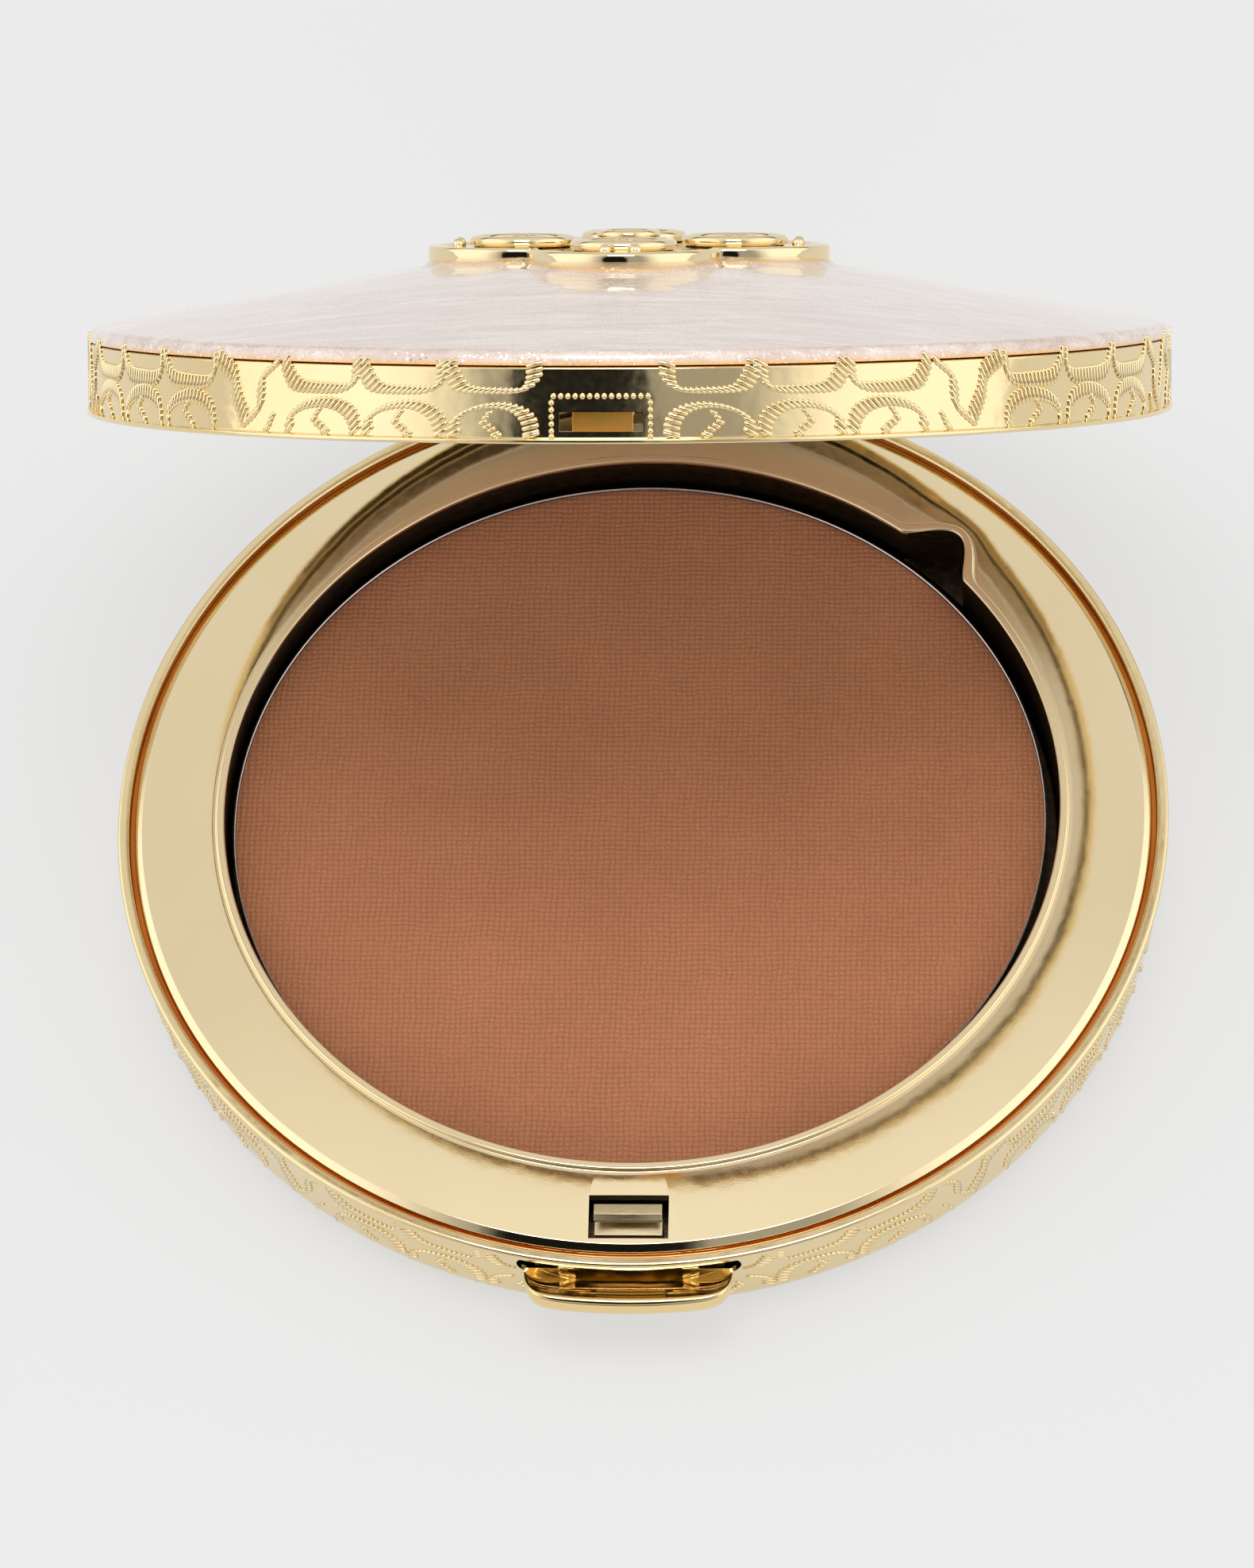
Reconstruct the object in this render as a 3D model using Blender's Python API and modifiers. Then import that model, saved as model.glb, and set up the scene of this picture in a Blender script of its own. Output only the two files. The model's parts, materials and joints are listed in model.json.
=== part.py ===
"""Round pressed-powder compact with a hinged lid and a push latch.

Metres, +Z up. The origin is the centre of the underside, the thumb tab faces -Y and the
hinge is at +Y. Lid pieces are drawn closed and hang on an empty on the hinge axis, which
is turned to the rest angle. Heights named *_rise are measured from the seam, the plane on
which base and lid meet.
"""

import math

import bmesh
import bpy
from mathutils import Matrix

MM = 0.001

# Overall sizes
case_radius = 40.0 * MM
base_height = 8.6 * MM
band_height = 5.7 * MM
dome_height = 5.1 * MM
lid_open_angle = math.radians(50.5)

# Clearances
seam_gap = 0.3 * MM          # between base rim and lid rim
touch_gap = 0.3 * MM         # between pieces that rest on or in each other
fine_gap = 0.1 * MM          # between pieces bonded to each other
slide_gap = 0.3 * MM         # round the pieces that travel

# Case walls
wall = 0.9 * MM
rim_bead = 0.55 * MM         # height of the plain bead along both rims
relief_depth = 0.3 * MM      # how far the decorated side sits inside the rim bead
side_taper = 0.45 * MM       # how much the base side leans in on its way down
foot_inset = 3.1 * MM        # flat foot inside the case radius
foot_corner = 2.6 * MM       # rounding between the side and the underside
floor_chamfer = 1.8 * MM     # inside, between floor and wall
floor_thickness = 0.9 * MM
edge_break = 0.2 * MM        # chamfer on the rims

# Bottom disc and ballast
foot_rim = 3.2 * MM          # flat foot left outside the disc
disc_thickness = 0.5 * MM
ballast_margin = 3.2 * MM    # inside the bottom disc's edge
ballast_thickness = 1.0 * MM
magnet_radius = 6.0 * MM

# Tray
tray_proud = 0.8 * MM        # ring stands this far above the seam
tray_plate = 0.7 * MM
ring_fall = 0.75 * MM        # slope of the ring, down from the lip to its outer edge
tray_wall = 0.6 * MM
tray_bevel = 0.65 * MM
tray_skirt = 1.6 * MM        # depth of the edge that drops into the base
tray_clearance = 0.35 * MM
tray_radius = case_radius - wall - tray_clearance
lip_break = 0.25 * MM
lip_width = 0.65 * MM
lip_height = 0.32 * MM
ring_width = 6.35 * MM       # from the lip to the tray's edge
notch_radius = 2.7 * MM
notch_angle = math.radians(46.0)
notch_depth = 3.4 * MM

# Pan and powder
pan_clearance = 0.7 * MM     # pan inside the well's wall
pan_recess = 1.9 * MM        # pan rim below the ring
pan_wall = 0.4 * MM
pan_shift = (-0.25 * MM, -0.15 * MM)
powder_inset = 0.15 * MM     # powder surface below the pan's rim

# Latch
slot_width = 5.9 * MM
slot_rim = 0.4 * MM          # flat ring left in front of the slot
hook_width = 5.0 * MM
hook_top = 0.85 * MM
hook_head = 0.6 * MM         # height of the nose that holds the catch
hook_nose = 0.35 * MM
latch_play = 0.15 * MM       # between the nose and the catch's tooth, closed
latch_gap = 0.2 * MM         # beside the catch
latch_travel = 1.0 * MM
tab_width = 15.4 * MM
tab_reach = 2.8 * MM         # beyond the case radius
tab_thickness = 1.7 * MM
tab_drop = 1.0 * MM          # tab top below the seam
tab_corner = 1.3 * MM
stem_width = 2.6 * MM
stem_spread = 5.6 * MM       # stem centre from the middle plane
hollow_rim = 0.4 * MM        # tab left beside the thumb hollow
hollow_reach = 1.5 * MM      # half the hollow's length along Y
hollow_depth = 0.75 * MM
carriage_width = 14.0 * MM
carriage_thickness = 1.2 * MM
carriage_setback = 0.85 * MM # carriage front behind the wall
carriage_room = 1.5 * MM     # left for the springs at full travel
guide_wall = 0.8 * MM
guide_setback = 2.2 * MM     # guide behind the carriage front, clear of the wall
spring_radius = 0.9 * MM
spring_wire = 0.13 * MM
spring_turns = 4

# Hinge
hinge_offset = 0.4 * MM      # axis outside the case radius
knuckle_radius = 1.25 * MM
pin_radius = 0.45 * MM
pin_clearance = 0.08 * MM
base_knuckle = 5.0 * MM      # knuckle lengths along X
lid_knuckle = 3.4 * MM
leaf_drop = 3.2 * MM
leaf_fit = 0.05 * MM

# Lid
enamel_thickness = 0.9 * MM
shoulder = 0.9 * MM          # radial width of the rounded dome edge
emblem_seat_radius = 13.6 * MM
window_width = 5.8 * MM
window_height = 1.35 * MM
window_rise = 1.15 * MM
frame_rise = 2.75 * MM
frame_thickness = 0.8 * MM
mirror_margin = 1.6 * MM     # mirror inside the lid's wall
mirror_thickness = 1.1 * MM
mirror_lap = 0.6 * MM        # frame overlap on the mirror's edge
frame_wall = 0.6 * MM        # frame's upstand round the mirror
pad_margin = 13.5 * MM       # pad inside the mirror's edge
pad_thickness = 0.6 * MM
catch_width = 4.2 * MM
catch_thickness = 0.4 * MM
catch_tooth = 0.7 * MM
tooth_height = 0.4 * MM
tooth_inset = 0.05 * MM      # tooth kept inside the lid's rim
catch_foot = 2.0 * MM        # bent part that lies under the liner
catch_bend = 0.6 * MM

# Emblem
emblem_reach = 14.8 * MM     # centre to the far edge of a lobe
lobe_radius = 7.0 * MM
lobe_count = 4
plaque_thickness = 1.25 * MM
loop_radius = 3.5 * MM
loop_wire = 0.42 * MM
boss_gap = 1.28 * MM         # between the boss and the loops
boss_height = 1.05 * MM
rivet_radius = 0.6 * MM
rivet_spread = 8.0 * MM

# Facets
round_steps = 60
hidden_steps = 48
small_steps = 24
rivet_steps = 16

# Worked out from the sizes above
ring_z = base_height + tray_proud
lid_rim_z = base_height + seam_gap
band_top_z = base_height + seam_gap + band_height
dome_top_z = band_top_z + dome_height
inner_radius = case_radius - wall
relief_radius = case_radius - relief_depth
foot_radius = case_radius - foot_inset
disc_radius = foot_radius - foot_rim
ballast_radius = disc_radius - ballast_margin
floor_z = disc_thickness + touch_gap + floor_thickness
ballast_top_z = floor_z + touch_gap + ballast_thickness
well_radius = tray_radius - ring_width - lip_width
well_floor_z = ballast_top_z + touch_gap + tray_wall
well_outer_radius = well_radius + tray_wall
tray_bottom_z = well_floor_z - tray_wall
pan_floor_z = well_floor_z + touch_gap
pan_top_z = ring_z - pan_recess
pan_radius = well_radius - pan_clearance
mirror_radius = inner_radius - mirror_margin
pad_radius = mirror_radius - pad_margin
loop_distance = emblem_reach - lobe_radius
boss_radius = loop_distance - loop_radius - loop_wire - boss_gap
hinge_y = case_radius + hinge_offset
hinge_z = base_height + seam_gap / 2.0
hinge_length = base_knuckle + 2.0 * (lid_knuckle + touch_gap)
slot_front_y = -(tray_radius - tray_bevel - slot_rim)
catch_front_y = slot_front_y + slide_gap
catch_back_y = catch_front_y + catch_thickness
tooth_low_z = lid_rim_z + tooth_inset
tooth_top_z = tooth_low_z + tooth_height
nose_y = catch_back_y + latch_gap
nose_z = tooth_top_z + latch_play
hook_top_z = nose_z + hook_head
hook_front_y = nose_y + hook_nose
hook_back_y = hook_front_y + hook_top
slot_back_y = hook_back_y + latch_travel + slide_gap
tab_top_z = base_height - tab_drop
tab_bottom_z = tab_top_z - tab_thickness
carriage_top_z = tab_bottom_z + 0.1 * MM
carriage_bottom_z = carriage_top_z - carriage_thickness
carriage_front_y = -(inner_radius - carriage_setback)
carriage_back_y = -(well_outer_radius + latch_travel + carriage_room)


def start_clean():
    """Remove every object and make the two collections."""
    for obj in list(bpy.data.objects):
        bpy.data.objects.remove(obj, do_unlink=True)
    parts = bpy.data.collections.new("powder_compact")
    cutters = bpy.data.collections.new("cutters")
    bpy.context.scene.collection.children.link(parts)
    bpy.context.scene.collection.children.link(cutters)
    return parts, cutters


parts_group, cutter_group = start_clean()


def finish_material(name, color, roughness, metallic):
    """A plain Principled material."""
    material = bpy.data.materials.new(name)
    material.use_nodes = True
    shader = material.node_tree.nodes["Principled BSDF"]
    shader.inputs["Base Color"].default_value = (*color, 1.0)
    shader.inputs["Roughness"].default_value = roughness
    shader.inputs["Metallic"].default_value = metallic
    return material


gold_relief = finish_material("gold_relief", (0.83, 0.66, 0.34), 0.24, 1.0)
gold_polished = finish_material("gold_polished", (0.87, 0.72, 0.42), 0.1, 1.0)
gold_emblem = finish_material("gold_emblem", (0.82, 0.67, 0.36), 0.1, 1.0)
bronze_hook = finish_material("bronze_hook", (0.55, 0.42, 0.22), 0.35, 1.0)
pearl_enamel = finish_material("pearl_enamel", (0.87, 0.78, 0.73), 0.12, 0.0)
pan_metal = finish_material("pan_metal", (0.82, 0.8, 0.79), 0.25, 1.0)
bronze_powder = finish_material("bronze_powder", (0.3, 0.16, 0.1), 0.9, 0.0)
mirror_glass = finish_material("mirror_glass", (0.9, 0.92, 0.93), 0.02, 1.0)
foam_pad = finish_material("foam_pad", (0.85, 0.84, 0.8), 0.9, 0.0)
steel = finish_material("steel", (0.62, 0.62, 0.63), 0.3, 1.0)
magnet_dark = finish_material("magnet_dark", (0.12, 0.12, 0.13), 0.5, 0.6)
guide_plastic = finish_material("guide_plastic", (0.09, 0.08, 0.07), 0.5, 0.0)


def smooth(obj, angle=35.0):
    obj.data.shade_smooth()
    obj.data.set_sharp_from_angle(angle=math.radians(angle))


def add_mesh_object(name, mesh, material, cutter=False):
    """Link a new object to its collection; a cutter is kept out of the model."""
    obj = bpy.data.objects.new(name, mesh)
    group = cutter_group if cutter else parts_group
    group.objects.link(obj)
    if cutter:
        obj.hide_render = True
        obj.display_type = "WIRE"
    else:
        mesh.materials.append(material)
    return obj


def turned(name, profile, material=None, steps=round_steps, cutter=False, closed=False):
    """Turn an (r, z) profile round Z. It runs down the outer side, top to bottom."""
    mesh = bpy.data.meshes.new(name)
    bm = bmesh.new()
    points = [bm.verts.new((radius, 0.0, height)) for radius, height in profile]
    for first, second in zip(points, points[1:]):
        bm.edges.new((first, second))
    if closed:
        bm.edges.new((points[-1], points[0]))
    bm.to_mesh(mesh)
    bm.free()
    obj = add_mesh_object(name, mesh, material, cutter)
    screw = obj.modifiers.new("turn", "SCREW")
    screw.axis = "Z"
    screw.steps = steps
    screw.render_steps = steps
    screw.use_merge_vertices = True
    screw.merge_threshold = 0.00001
    screw.use_smooth_shade = True
    return obj


def box(name, low, high, material=None, cutter=False):
    """A block between two corners."""
    mesh = bpy.data.meshes.new(name)
    bm = bmesh.new()
    bmesh.ops.create_cube(bm, size=1.0)
    size = [top - bottom for bottom, top in zip(low, high)]
    middle = [(top + bottom) / 2.0 for bottom, top in zip(low, high)]
    bmesh.ops.scale(bm, vec=size, verts=bm.verts)
    bmesh.ops.translate(bm, vec=middle, verts=bm.verts)
    bm.to_mesh(mesh)
    bm.free()
    return add_mesh_object(name, mesh, material, cutter)


def rod(name, start, axis, radius, length, material=None, steps=small_steps, cutter=False):
    """A cylinder that runs from start along X, Y or Z."""
    mesh = bpy.data.meshes.new(name)
    bm = bmesh.new()
    bmesh.ops.create_cone(bm, cap_ends=True, segments=steps, radius1=radius, radius2=radius, depth=length)
    bmesh.ops.translate(bm, vec=(0.0, 0.0, length / 2.0), verts=bm.verts)
    turns = {"X": Matrix.Rotation(math.pi / 2.0, 4, "Y"), "Y": Matrix.Rotation(-math.pi / 2.0, 4, "X")}
    bm.transform(Matrix.Translation(start) @ turns.get(axis, Matrix.Identity(4)))
    bm.to_mesh(mesh)
    bm.free()
    return add_mesh_object(name, mesh, material, cutter)


def prism(name, outline, low, high, material=None, plane="XY", cutter=False):
    """Extrude a flat outline between two heights along the axis that its plane leaves out."""
    curve = bpy.data.curves.new(name, "CURVE")
    curve.dimensions = "2D"
    curve.fill_mode = "BOTH"
    curve.extrude = (high - low) / 2.0
    spline = curve.splines.new("POLY")
    spline.points.add(len(outline) - 1)
    spline.use_cyclic_u = True
    for point, (across, along) in zip(spline.points, outline):
        point.co = (across, along, 0.0, 1.0)
    source = bpy.data.objects.new(name + "_outline", curve)
    cutter_group.objects.link(source)
    graph = bpy.context.evaluated_depsgraph_get()
    mesh = bpy.data.meshes.new_from_object(source.evaluated_get(graph))
    bpy.data.objects.remove(source)
    bm = bmesh.new()
    bm.from_mesh(mesh)
    bmesh.ops.remove_doubles(bm, verts=bm.verts, dist=0.000001)
    bm.transform(Matrix.Translation((0.0, 0.0, (low + high) / 2.0)))
    if plane == "YZ":
        bm.transform(Matrix(((0, 0, 1, 0), (1, 0, 0, 0), (0, 1, 0, 0), (0, 0, 0, 1))))
    bmesh.ops.recalc_face_normals(bm, faces=bm.faces)
    bm.to_mesh(mesh)
    bm.free()
    mesh.name = name
    return add_mesh_object(name, mesh, material, cutter)


def boolean(obj, other, operation="DIFFERENCE"):
    """Cut or join with a helper solid, exactly."""
    modifier = obj.modifiers.new(operation.lower(), "BOOLEAN")
    modifier.operation = operation
    modifier.solver = "EXACT"
    modifier.object = other
    return modifier


def empty_at(name, location):
    """A parent on a joint's axis."""
    obj = bpy.data.objects.new(name, None)
    parts_group.objects.link(obj)
    obj.location = location
    return obj


def hang(obj, parent):
    """Parent a piece drawn in world places to an empty that is not yet turned."""
    obj.parent = parent
    obj.location = tuple(place - offset for place, offset in zip(obj.location, parent.location))


def dome_rise(radius):
    """Height of the enamel's surface above the band's top, at a radius on the cone."""
    run = case_radius - shoulder - radius
    span = case_radius - shoulder - emblem_seat_radius
    return shoulder * 0.9 + (dome_height - shoulder * 0.9) * run / span


# Base ------------------------------------------------------------------------------------

def make_base_shell():
    """Decorated lower case: rim bead, side with a recessed ground, rounded foot."""
    side_radius = relief_radius - side_taper
    profile = [
        (0.0, floor_z),
        (inner_radius - floor_chamfer, floor_z),
        (inner_radius, floor_z + floor_chamfer),
        (inner_radius, base_height - 0.1 * MM),
        (inner_radius + 0.15 * MM, base_height),
        (case_radius - edge_break, base_height),
        (case_radius, base_height - edge_break),
        (case_radius, base_height - rim_bead),
        (relief_radius, base_height - rim_bead - 0.1 * MM),
    ]
    lean_in = side_radius - foot_radius
    profile += [(foot_radius + lean_in * math.cos(turn), foot_corner * (1.0 - math.sin(turn)))
                for turn in (0.0, 0.35, 0.8, 1.2, math.pi / 2.0)]
    profile += [
        (disc_radius + touch_gap, 0.0),
        (disc_radius + touch_gap, disc_thickness + touch_gap),
        (0.0, disc_thickness + touch_gap),
    ]
    shell = turned("base_shell", profile, gold_relief)
    half_height = (tab_thickness + 2.0 * slide_gap) / 2.0
    opening = rounded_slot("tab_opening", tab_width / 2.0 + 2.0 * slide_gap,
                           (tab_top_z + tab_bottom_z) / 2.0, half_height)
    boolean(shell, opening)
    boolean(shell, hinge_clearance("base_hinge_clearance"))
    boolean(shell, leaf_notch("base_leaf_notch", base_knuckle, hinge_z - leaf_drop - touch_gap, hinge_z))
    return shell


def rounded_slot(name, half_width, middle_z, half_height):
    """Cutter with round ends for the tab's opening in the front wall."""
    flat = half_width - half_height
    outline = []
    for side in (1.0, -1.0):
        for index in range(7):
            angle = -math.pi / 2.0 + math.pi * index / 6.0
            reach = flat + half_height * math.cos(angle)
            outline.append((side * reach, side * half_height * math.sin(angle)))
    slot = prism(name, outline, -3.0 * MM, 3.0 * MM, cutter=True)
    slot.rotation_euler = (math.pi / 2.0, 0.0, 0.0)
    slot.location = (0.0, -case_radius, middle_z)
    return slot


def hinge_clearance(name):
    """Round cutter that frees the knuckles in a case wall."""
    start = (-(hinge_length / 2.0 + touch_gap), hinge_y, hinge_z)
    length = hinge_length + 2.0 * touch_gap
    return rod(name, start, "X", knuckle_radius + touch_gap, length, cutter=True)


def leaf_notch(name, width, low, high):
    """Square cutter that takes a hinge leaf through the case wall."""
    half = width / 2.0 + touch_gap
    return box(name, (-half, inner_radius - 1.5 * MM, low), (half, hinge_y, high), cutter=True)


def make_bottom_disc():
    """Plain blank disc let into the underside; the compact rests on it."""
    chamfer = 0.15 * MM
    profile = [
        (0.0, disc_thickness),
        (disc_radius, disc_thickness),
        (disc_radius, chamfer),
        (disc_radius - chamfer, 0.0),
        (0.0, 0.0),
    ]
    return turned("bottom_disc", profile, gold_polished, hidden_steps)


def make_ballast():
    """Steel weight under the well, with a round window for the magnet."""
    low = floor_z + touch_gap
    window = magnet_radius + touch_gap
    profile = [
        (window, low + ballast_thickness),
        (ballast_radius, low + ballast_thickness),
        (ballast_radius, low),
        (window, low),
    ]
    return turned("ballast_plate", profile, steel, hidden_steps, closed=True)


def make_magnet():
    low = floor_z + touch_gap
    return rod("pan_magnet", (0.0, 0.0, low), "Z", magnet_radius, ballast_thickness, magnet_dark)


def make_inner_tray():
    """Polished tray: gently sloped ring, bevelled edge, raised lip, well, fingernail notch and latch slot."""
    lip_radius = well_radius + lip_width
    lip_z = ring_z + lip_height
    edge_z = ring_z - ring_fall
    profile = [
        (0.0, lip_z),
        (lip_radius - lip_break, lip_z),
        (lip_radius - 0.05 * MM, lip_z - 0.12 * MM),
        (lip_radius, ring_z),
        (tray_radius - tray_bevel, edge_z),
        (tray_radius - tray_bevel * 0.35, edge_z - tray_bevel * 0.2),
        (tray_radius, edge_z - tray_bevel * 0.75),
        (tray_radius, ring_z - tray_skirt),
        (tray_radius - tray_wall, ring_z - tray_skirt),
        (tray_radius - tray_wall, edge_z - tray_plate),
        (well_outer_radius, ring_z - tray_plate),
        (well_outer_radius, tray_bottom_z),
        (0.0, tray_bottom_z),
    ]
    tray = turned("inner_tray", profile, gold_polished)
    notch_x = (well_radius + lip_width / 2.0) * math.cos(notch_angle)
    notch_y = (well_radius + lip_width / 2.0) * math.sin(notch_angle)
    notch_floor = ring_z - notch_depth
    collar_low = notch_floor - tray_wall
    collar = turned("notch_collar", [
        (0.0, lip_z),
        (notch_radius + lip_width - lip_break, lip_z),
        (notch_radius + lip_width, lip_z - 0.2 * MM),
        (notch_radius + lip_width, collar_low),
        (0.0, collar_low),
    ], steps=small_steps, cutter=True)
    collar.location = (notch_x, notch_y, 0.0)
    boolean(tray, collar, "UNION")
    well = turned("well_cutter", [
        (0.0, lip_z + 2.0 * MM),
        (well_radius + lip_break, lip_z + 2.0 * MM),
        (well_radius + lip_break, lip_z - 0.05 * MM),
        (well_radius, lip_z - 0.3 * MM),
        (well_radius, well_floor_z + 0.3 * MM),
        (well_radius - 0.3 * MM, well_floor_z),
        (0.0, well_floor_z),
    ], cutter=True)
    boolean(tray, well)
    notch = rod("notch_cutter", (notch_x, notch_y, notch_floor), "Z", notch_radius, 8.0 * MM,
                steps=small_steps, cutter=True)
    boolean(tray, notch)
    slot_half = slot_width / 2.0
    slot = box("slot_cutter", (-slot_half, slot_front_y, ring_z - 2.5 * MM),
               (slot_half, slot_back_y, ring_z + 2.5 * MM), cutter=True)
    boolean(tray, slot)
    return tray


def make_pan():
    """Thin metal dish that lifts out of the well."""
    profile = [
        (0.0, pan_floor_z + pan_wall),
        (pan_radius - pan_wall, pan_floor_z + pan_wall),
        (pan_radius - pan_wall, pan_top_z),
        (pan_radius, pan_top_z),
        (pan_radius, pan_floor_z + 0.3 * MM),
        (pan_radius - 0.3 * MM, pan_floor_z),
        (0.0, pan_floor_z),
    ]
    pan = turned("powder_pan", profile, pan_metal)
    pan.location = (*pan_shift, 0.0)
    return pan


def make_powder():
    """Cake of pressed powder that fills the pan."""
    radius = pan_radius - pan_wall - fine_gap
    low = pan_floor_z + pan_wall + fine_gap
    high = pan_top_z - powder_inset
    profile = [
        (0.0, high),
        (radius - 0.25 * MM, high),
        (radius, high - 0.15 * MM),
        (radius, low),
        (0.0, low),
    ]
    powder = turned("powder_cake", profile, bronze_powder)
    powder.location = (*pan_shift, 0.0)
    return powder


# Hinge -----------------------------------------------------------------------------------

def knuckle(name, start_x, length, leaf_low, leaf_high):
    """Hinge knuckle round the pin, with a leaf that fills its notch in the case wall."""
    piece = rod(name, (start_x, hinge_y, hinge_z), "X", knuckle_radius, length, gold_polished)
    leaf = box(name + "_leaf", (start_x + leaf_fit, inner_radius + leaf_fit, leaf_low),
               (start_x + length - leaf_fit, case_radius - 0.4 * MM, leaf_high), cutter=True)
    boolean(piece, leaf, "UNION")
    bore = rod(name + "_bore", (start_x - 1.0 * MM, hinge_y, hinge_z), "X", pin_radius + pin_clearance,
               length + 2.0 * MM, cutter=True)
    boolean(piece, bore)
    return piece


def make_base_knuckle():
    return knuckle("base_hinge_knuckle", -base_knuckle / 2.0, base_knuckle, hinge_z - leaf_drop, hinge_z)


def make_lid_knuckles():
    """The two outer knuckles, which turn with the lid."""
    inner_end = base_knuckle / 2.0 + touch_gap
    starts = {"lid_hinge_knuckle_left": -inner_end - lid_knuckle, "lid_hinge_knuckle_right": inner_end}
    return [knuckle(name, start, lid_knuckle, hinge_z, hinge_z + leaf_drop) for name, start in starts.items()]


def make_hinge_pin():
    start = (-hinge_length / 2.0, hinge_y, hinge_z)
    return rod("hinge_pin", start, "X", pin_radius, hinge_length, steel)


# Latch -----------------------------------------------------------------------------------

def tab_outline():
    """Curved front edge with round corners, and a straight back just inside the wall."""
    half = tab_width / 2.0
    front_radius = case_radius + tab_reach
    corner_x = half - tab_corner
    corner_y = -math.sqrt((front_radius - tab_corner) ** 2 - corner_x ** 2)
    lean = math.atan2(corner_x, -corner_y)
    back_y = -inner_radius
    points = [(-half, back_y)]
    for index in range(5):
        angle = math.pi + (math.pi / 2.0 - lean) * index / 4.0
        points.append((-corner_x + tab_corner * math.cos(angle), corner_y + tab_corner * math.sin(angle)))
    for index in range(1, 8):
        angle = -lean + 2.0 * lean * index / 8.0
        points.append((front_radius * math.sin(angle), -front_radius * math.cos(angle)))
    for index in range(5):
        angle = -math.pi / 2.0 + lean + (math.pi / 2.0 - lean) * index / 4.0
        points.append((corner_x + tab_corner * math.cos(angle), corner_y + tab_corner * math.sin(angle)))
    points.append((half, back_y))
    return points


def make_push_tab():
    """Thumb tab with a hollowed top and two stems that reach in past the catch."""
    tab = prism("push_tab", tab_outline(), tab_bottom_z, tab_top_z, gold_polished)
    for side, label in ((-1.0, "left"), (1.0, "right")):
        middle = side * stem_spread
        stem = box("tab_stem_" + label,
                   (middle - stem_width / 2.0, -(inner_radius + 0.5 * MM), carriage_top_z + touch_gap),
                   (middle + stem_width / 2.0, carriage_back_y - 0.4 * MM, tab_top_z - 0.15 * MM),
                   cutter=True)
        boolean(tab, stem, "UNION")
    mesh = bpy.data.meshes.new("tab_hollow")
    bm = bmesh.new()
    bmesh.ops.create_uvsphere(bm, u_segments=20, v_segments=10, radius=1.0)
    bmesh.ops.scale(bm, vec=(tab_width / 2.0 - hollow_rim, hollow_reach, hollow_depth), verts=bm.verts)
    bm.to_mesh(mesh)
    bm.free()
    hollow = add_mesh_object("tab_hollow", mesh, None, cutter=True)
    hollow.location = (0.0, -(case_radius + hollow_reach / 2.0), tab_top_z + 0.08 * MM)
    boolean(tab, hollow)
    return tab


def make_latch_slider():
    """Carriage under the ring with the hook that holds the lid's catch."""
    half = carriage_width / 2.0
    slider = box("latch_slider", (-half, carriage_front_y, carriage_bottom_z),
                 (half, carriage_back_y, carriage_top_z), bronze_hook)
    root_z = carriage_top_z - 0.4 * MM
    neck_y = catch_back_y + catch_tooth + latch_gap
    shelf_z = tooth_low_z - slide_gap
    outline = [
        (hook_back_y, root_z),
        (hook_back_y, hook_top_z),
        (hook_front_y, hook_top_z),
        (nose_y, nose_z + hook_head * 0.5),
        (nose_y, nose_z),
        (neck_y, nose_z),
        (neck_y, shelf_z),
        (catch_front_y, shelf_z),
        (catch_front_y, root_z),
    ]
    hook = prism("hook_column", outline, -hook_width / 2.0, hook_width / 2.0, plane="YZ", cutter=True)
    boolean(slider, hook, "UNION")
    return slider


def make_rivets(prefix, spread, y, low, high, joined, material):
    """A left and a right pin, each through a clearance hole in every joined piece."""
    pins = []
    for side, label in ((-1.0, "left"), (1.0, "right")):
        x = side * spread
        hole = rod(prefix + "_hole_" + label, (x, y, low - touch_gap), "Z", rivet_radius + fine_gap,
                   high - low + 2.0 * touch_gap, steps=rivet_steps, cutter=True)
        for piece in joined:
            boolean(piece, hole)
        pins.append(rod(prefix + "_" + label, (x, y, low), "Z", rivet_radius, high - low,
                        material, rivet_steps))
    return pins


def make_tab_rivets(tab, slider):
    """Pins that join the tab's stems to the carriage."""
    y = (carriage_front_y + carriage_back_y) / 2.0
    return make_rivets("tab_rivet", stem_spread, y, carriage_bottom_z + fine_gap, tab_top_z - 0.25 * MM,
                       (tab, slider), steel)


def make_latch_guide():
    """Channel on the case floor that the carriage runs in."""
    half = carriage_width / 2.0 + slide_gap + guide_wall
    low = floor_z + touch_gap
    front_y = carriage_front_y + guide_setback
    back_y = -(well_outer_radius + touch_gap + 0.3 * MM)
    guide = box("latch_guide", (-half, front_y, low),
                (half, back_y, carriage_top_z - slide_gap), guide_plastic)
    channel_half = carriage_width / 2.0 + slide_gap
    channel = box("guide_channel", (-channel_half, front_y - 1.0 * MM, carriage_bottom_z - slide_gap),
                  (channel_half, back_y + 1.0 * MM, carriage_top_z + 1.0 * MM), cutter=True)
    boolean(guide, channel)
    return guide


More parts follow.
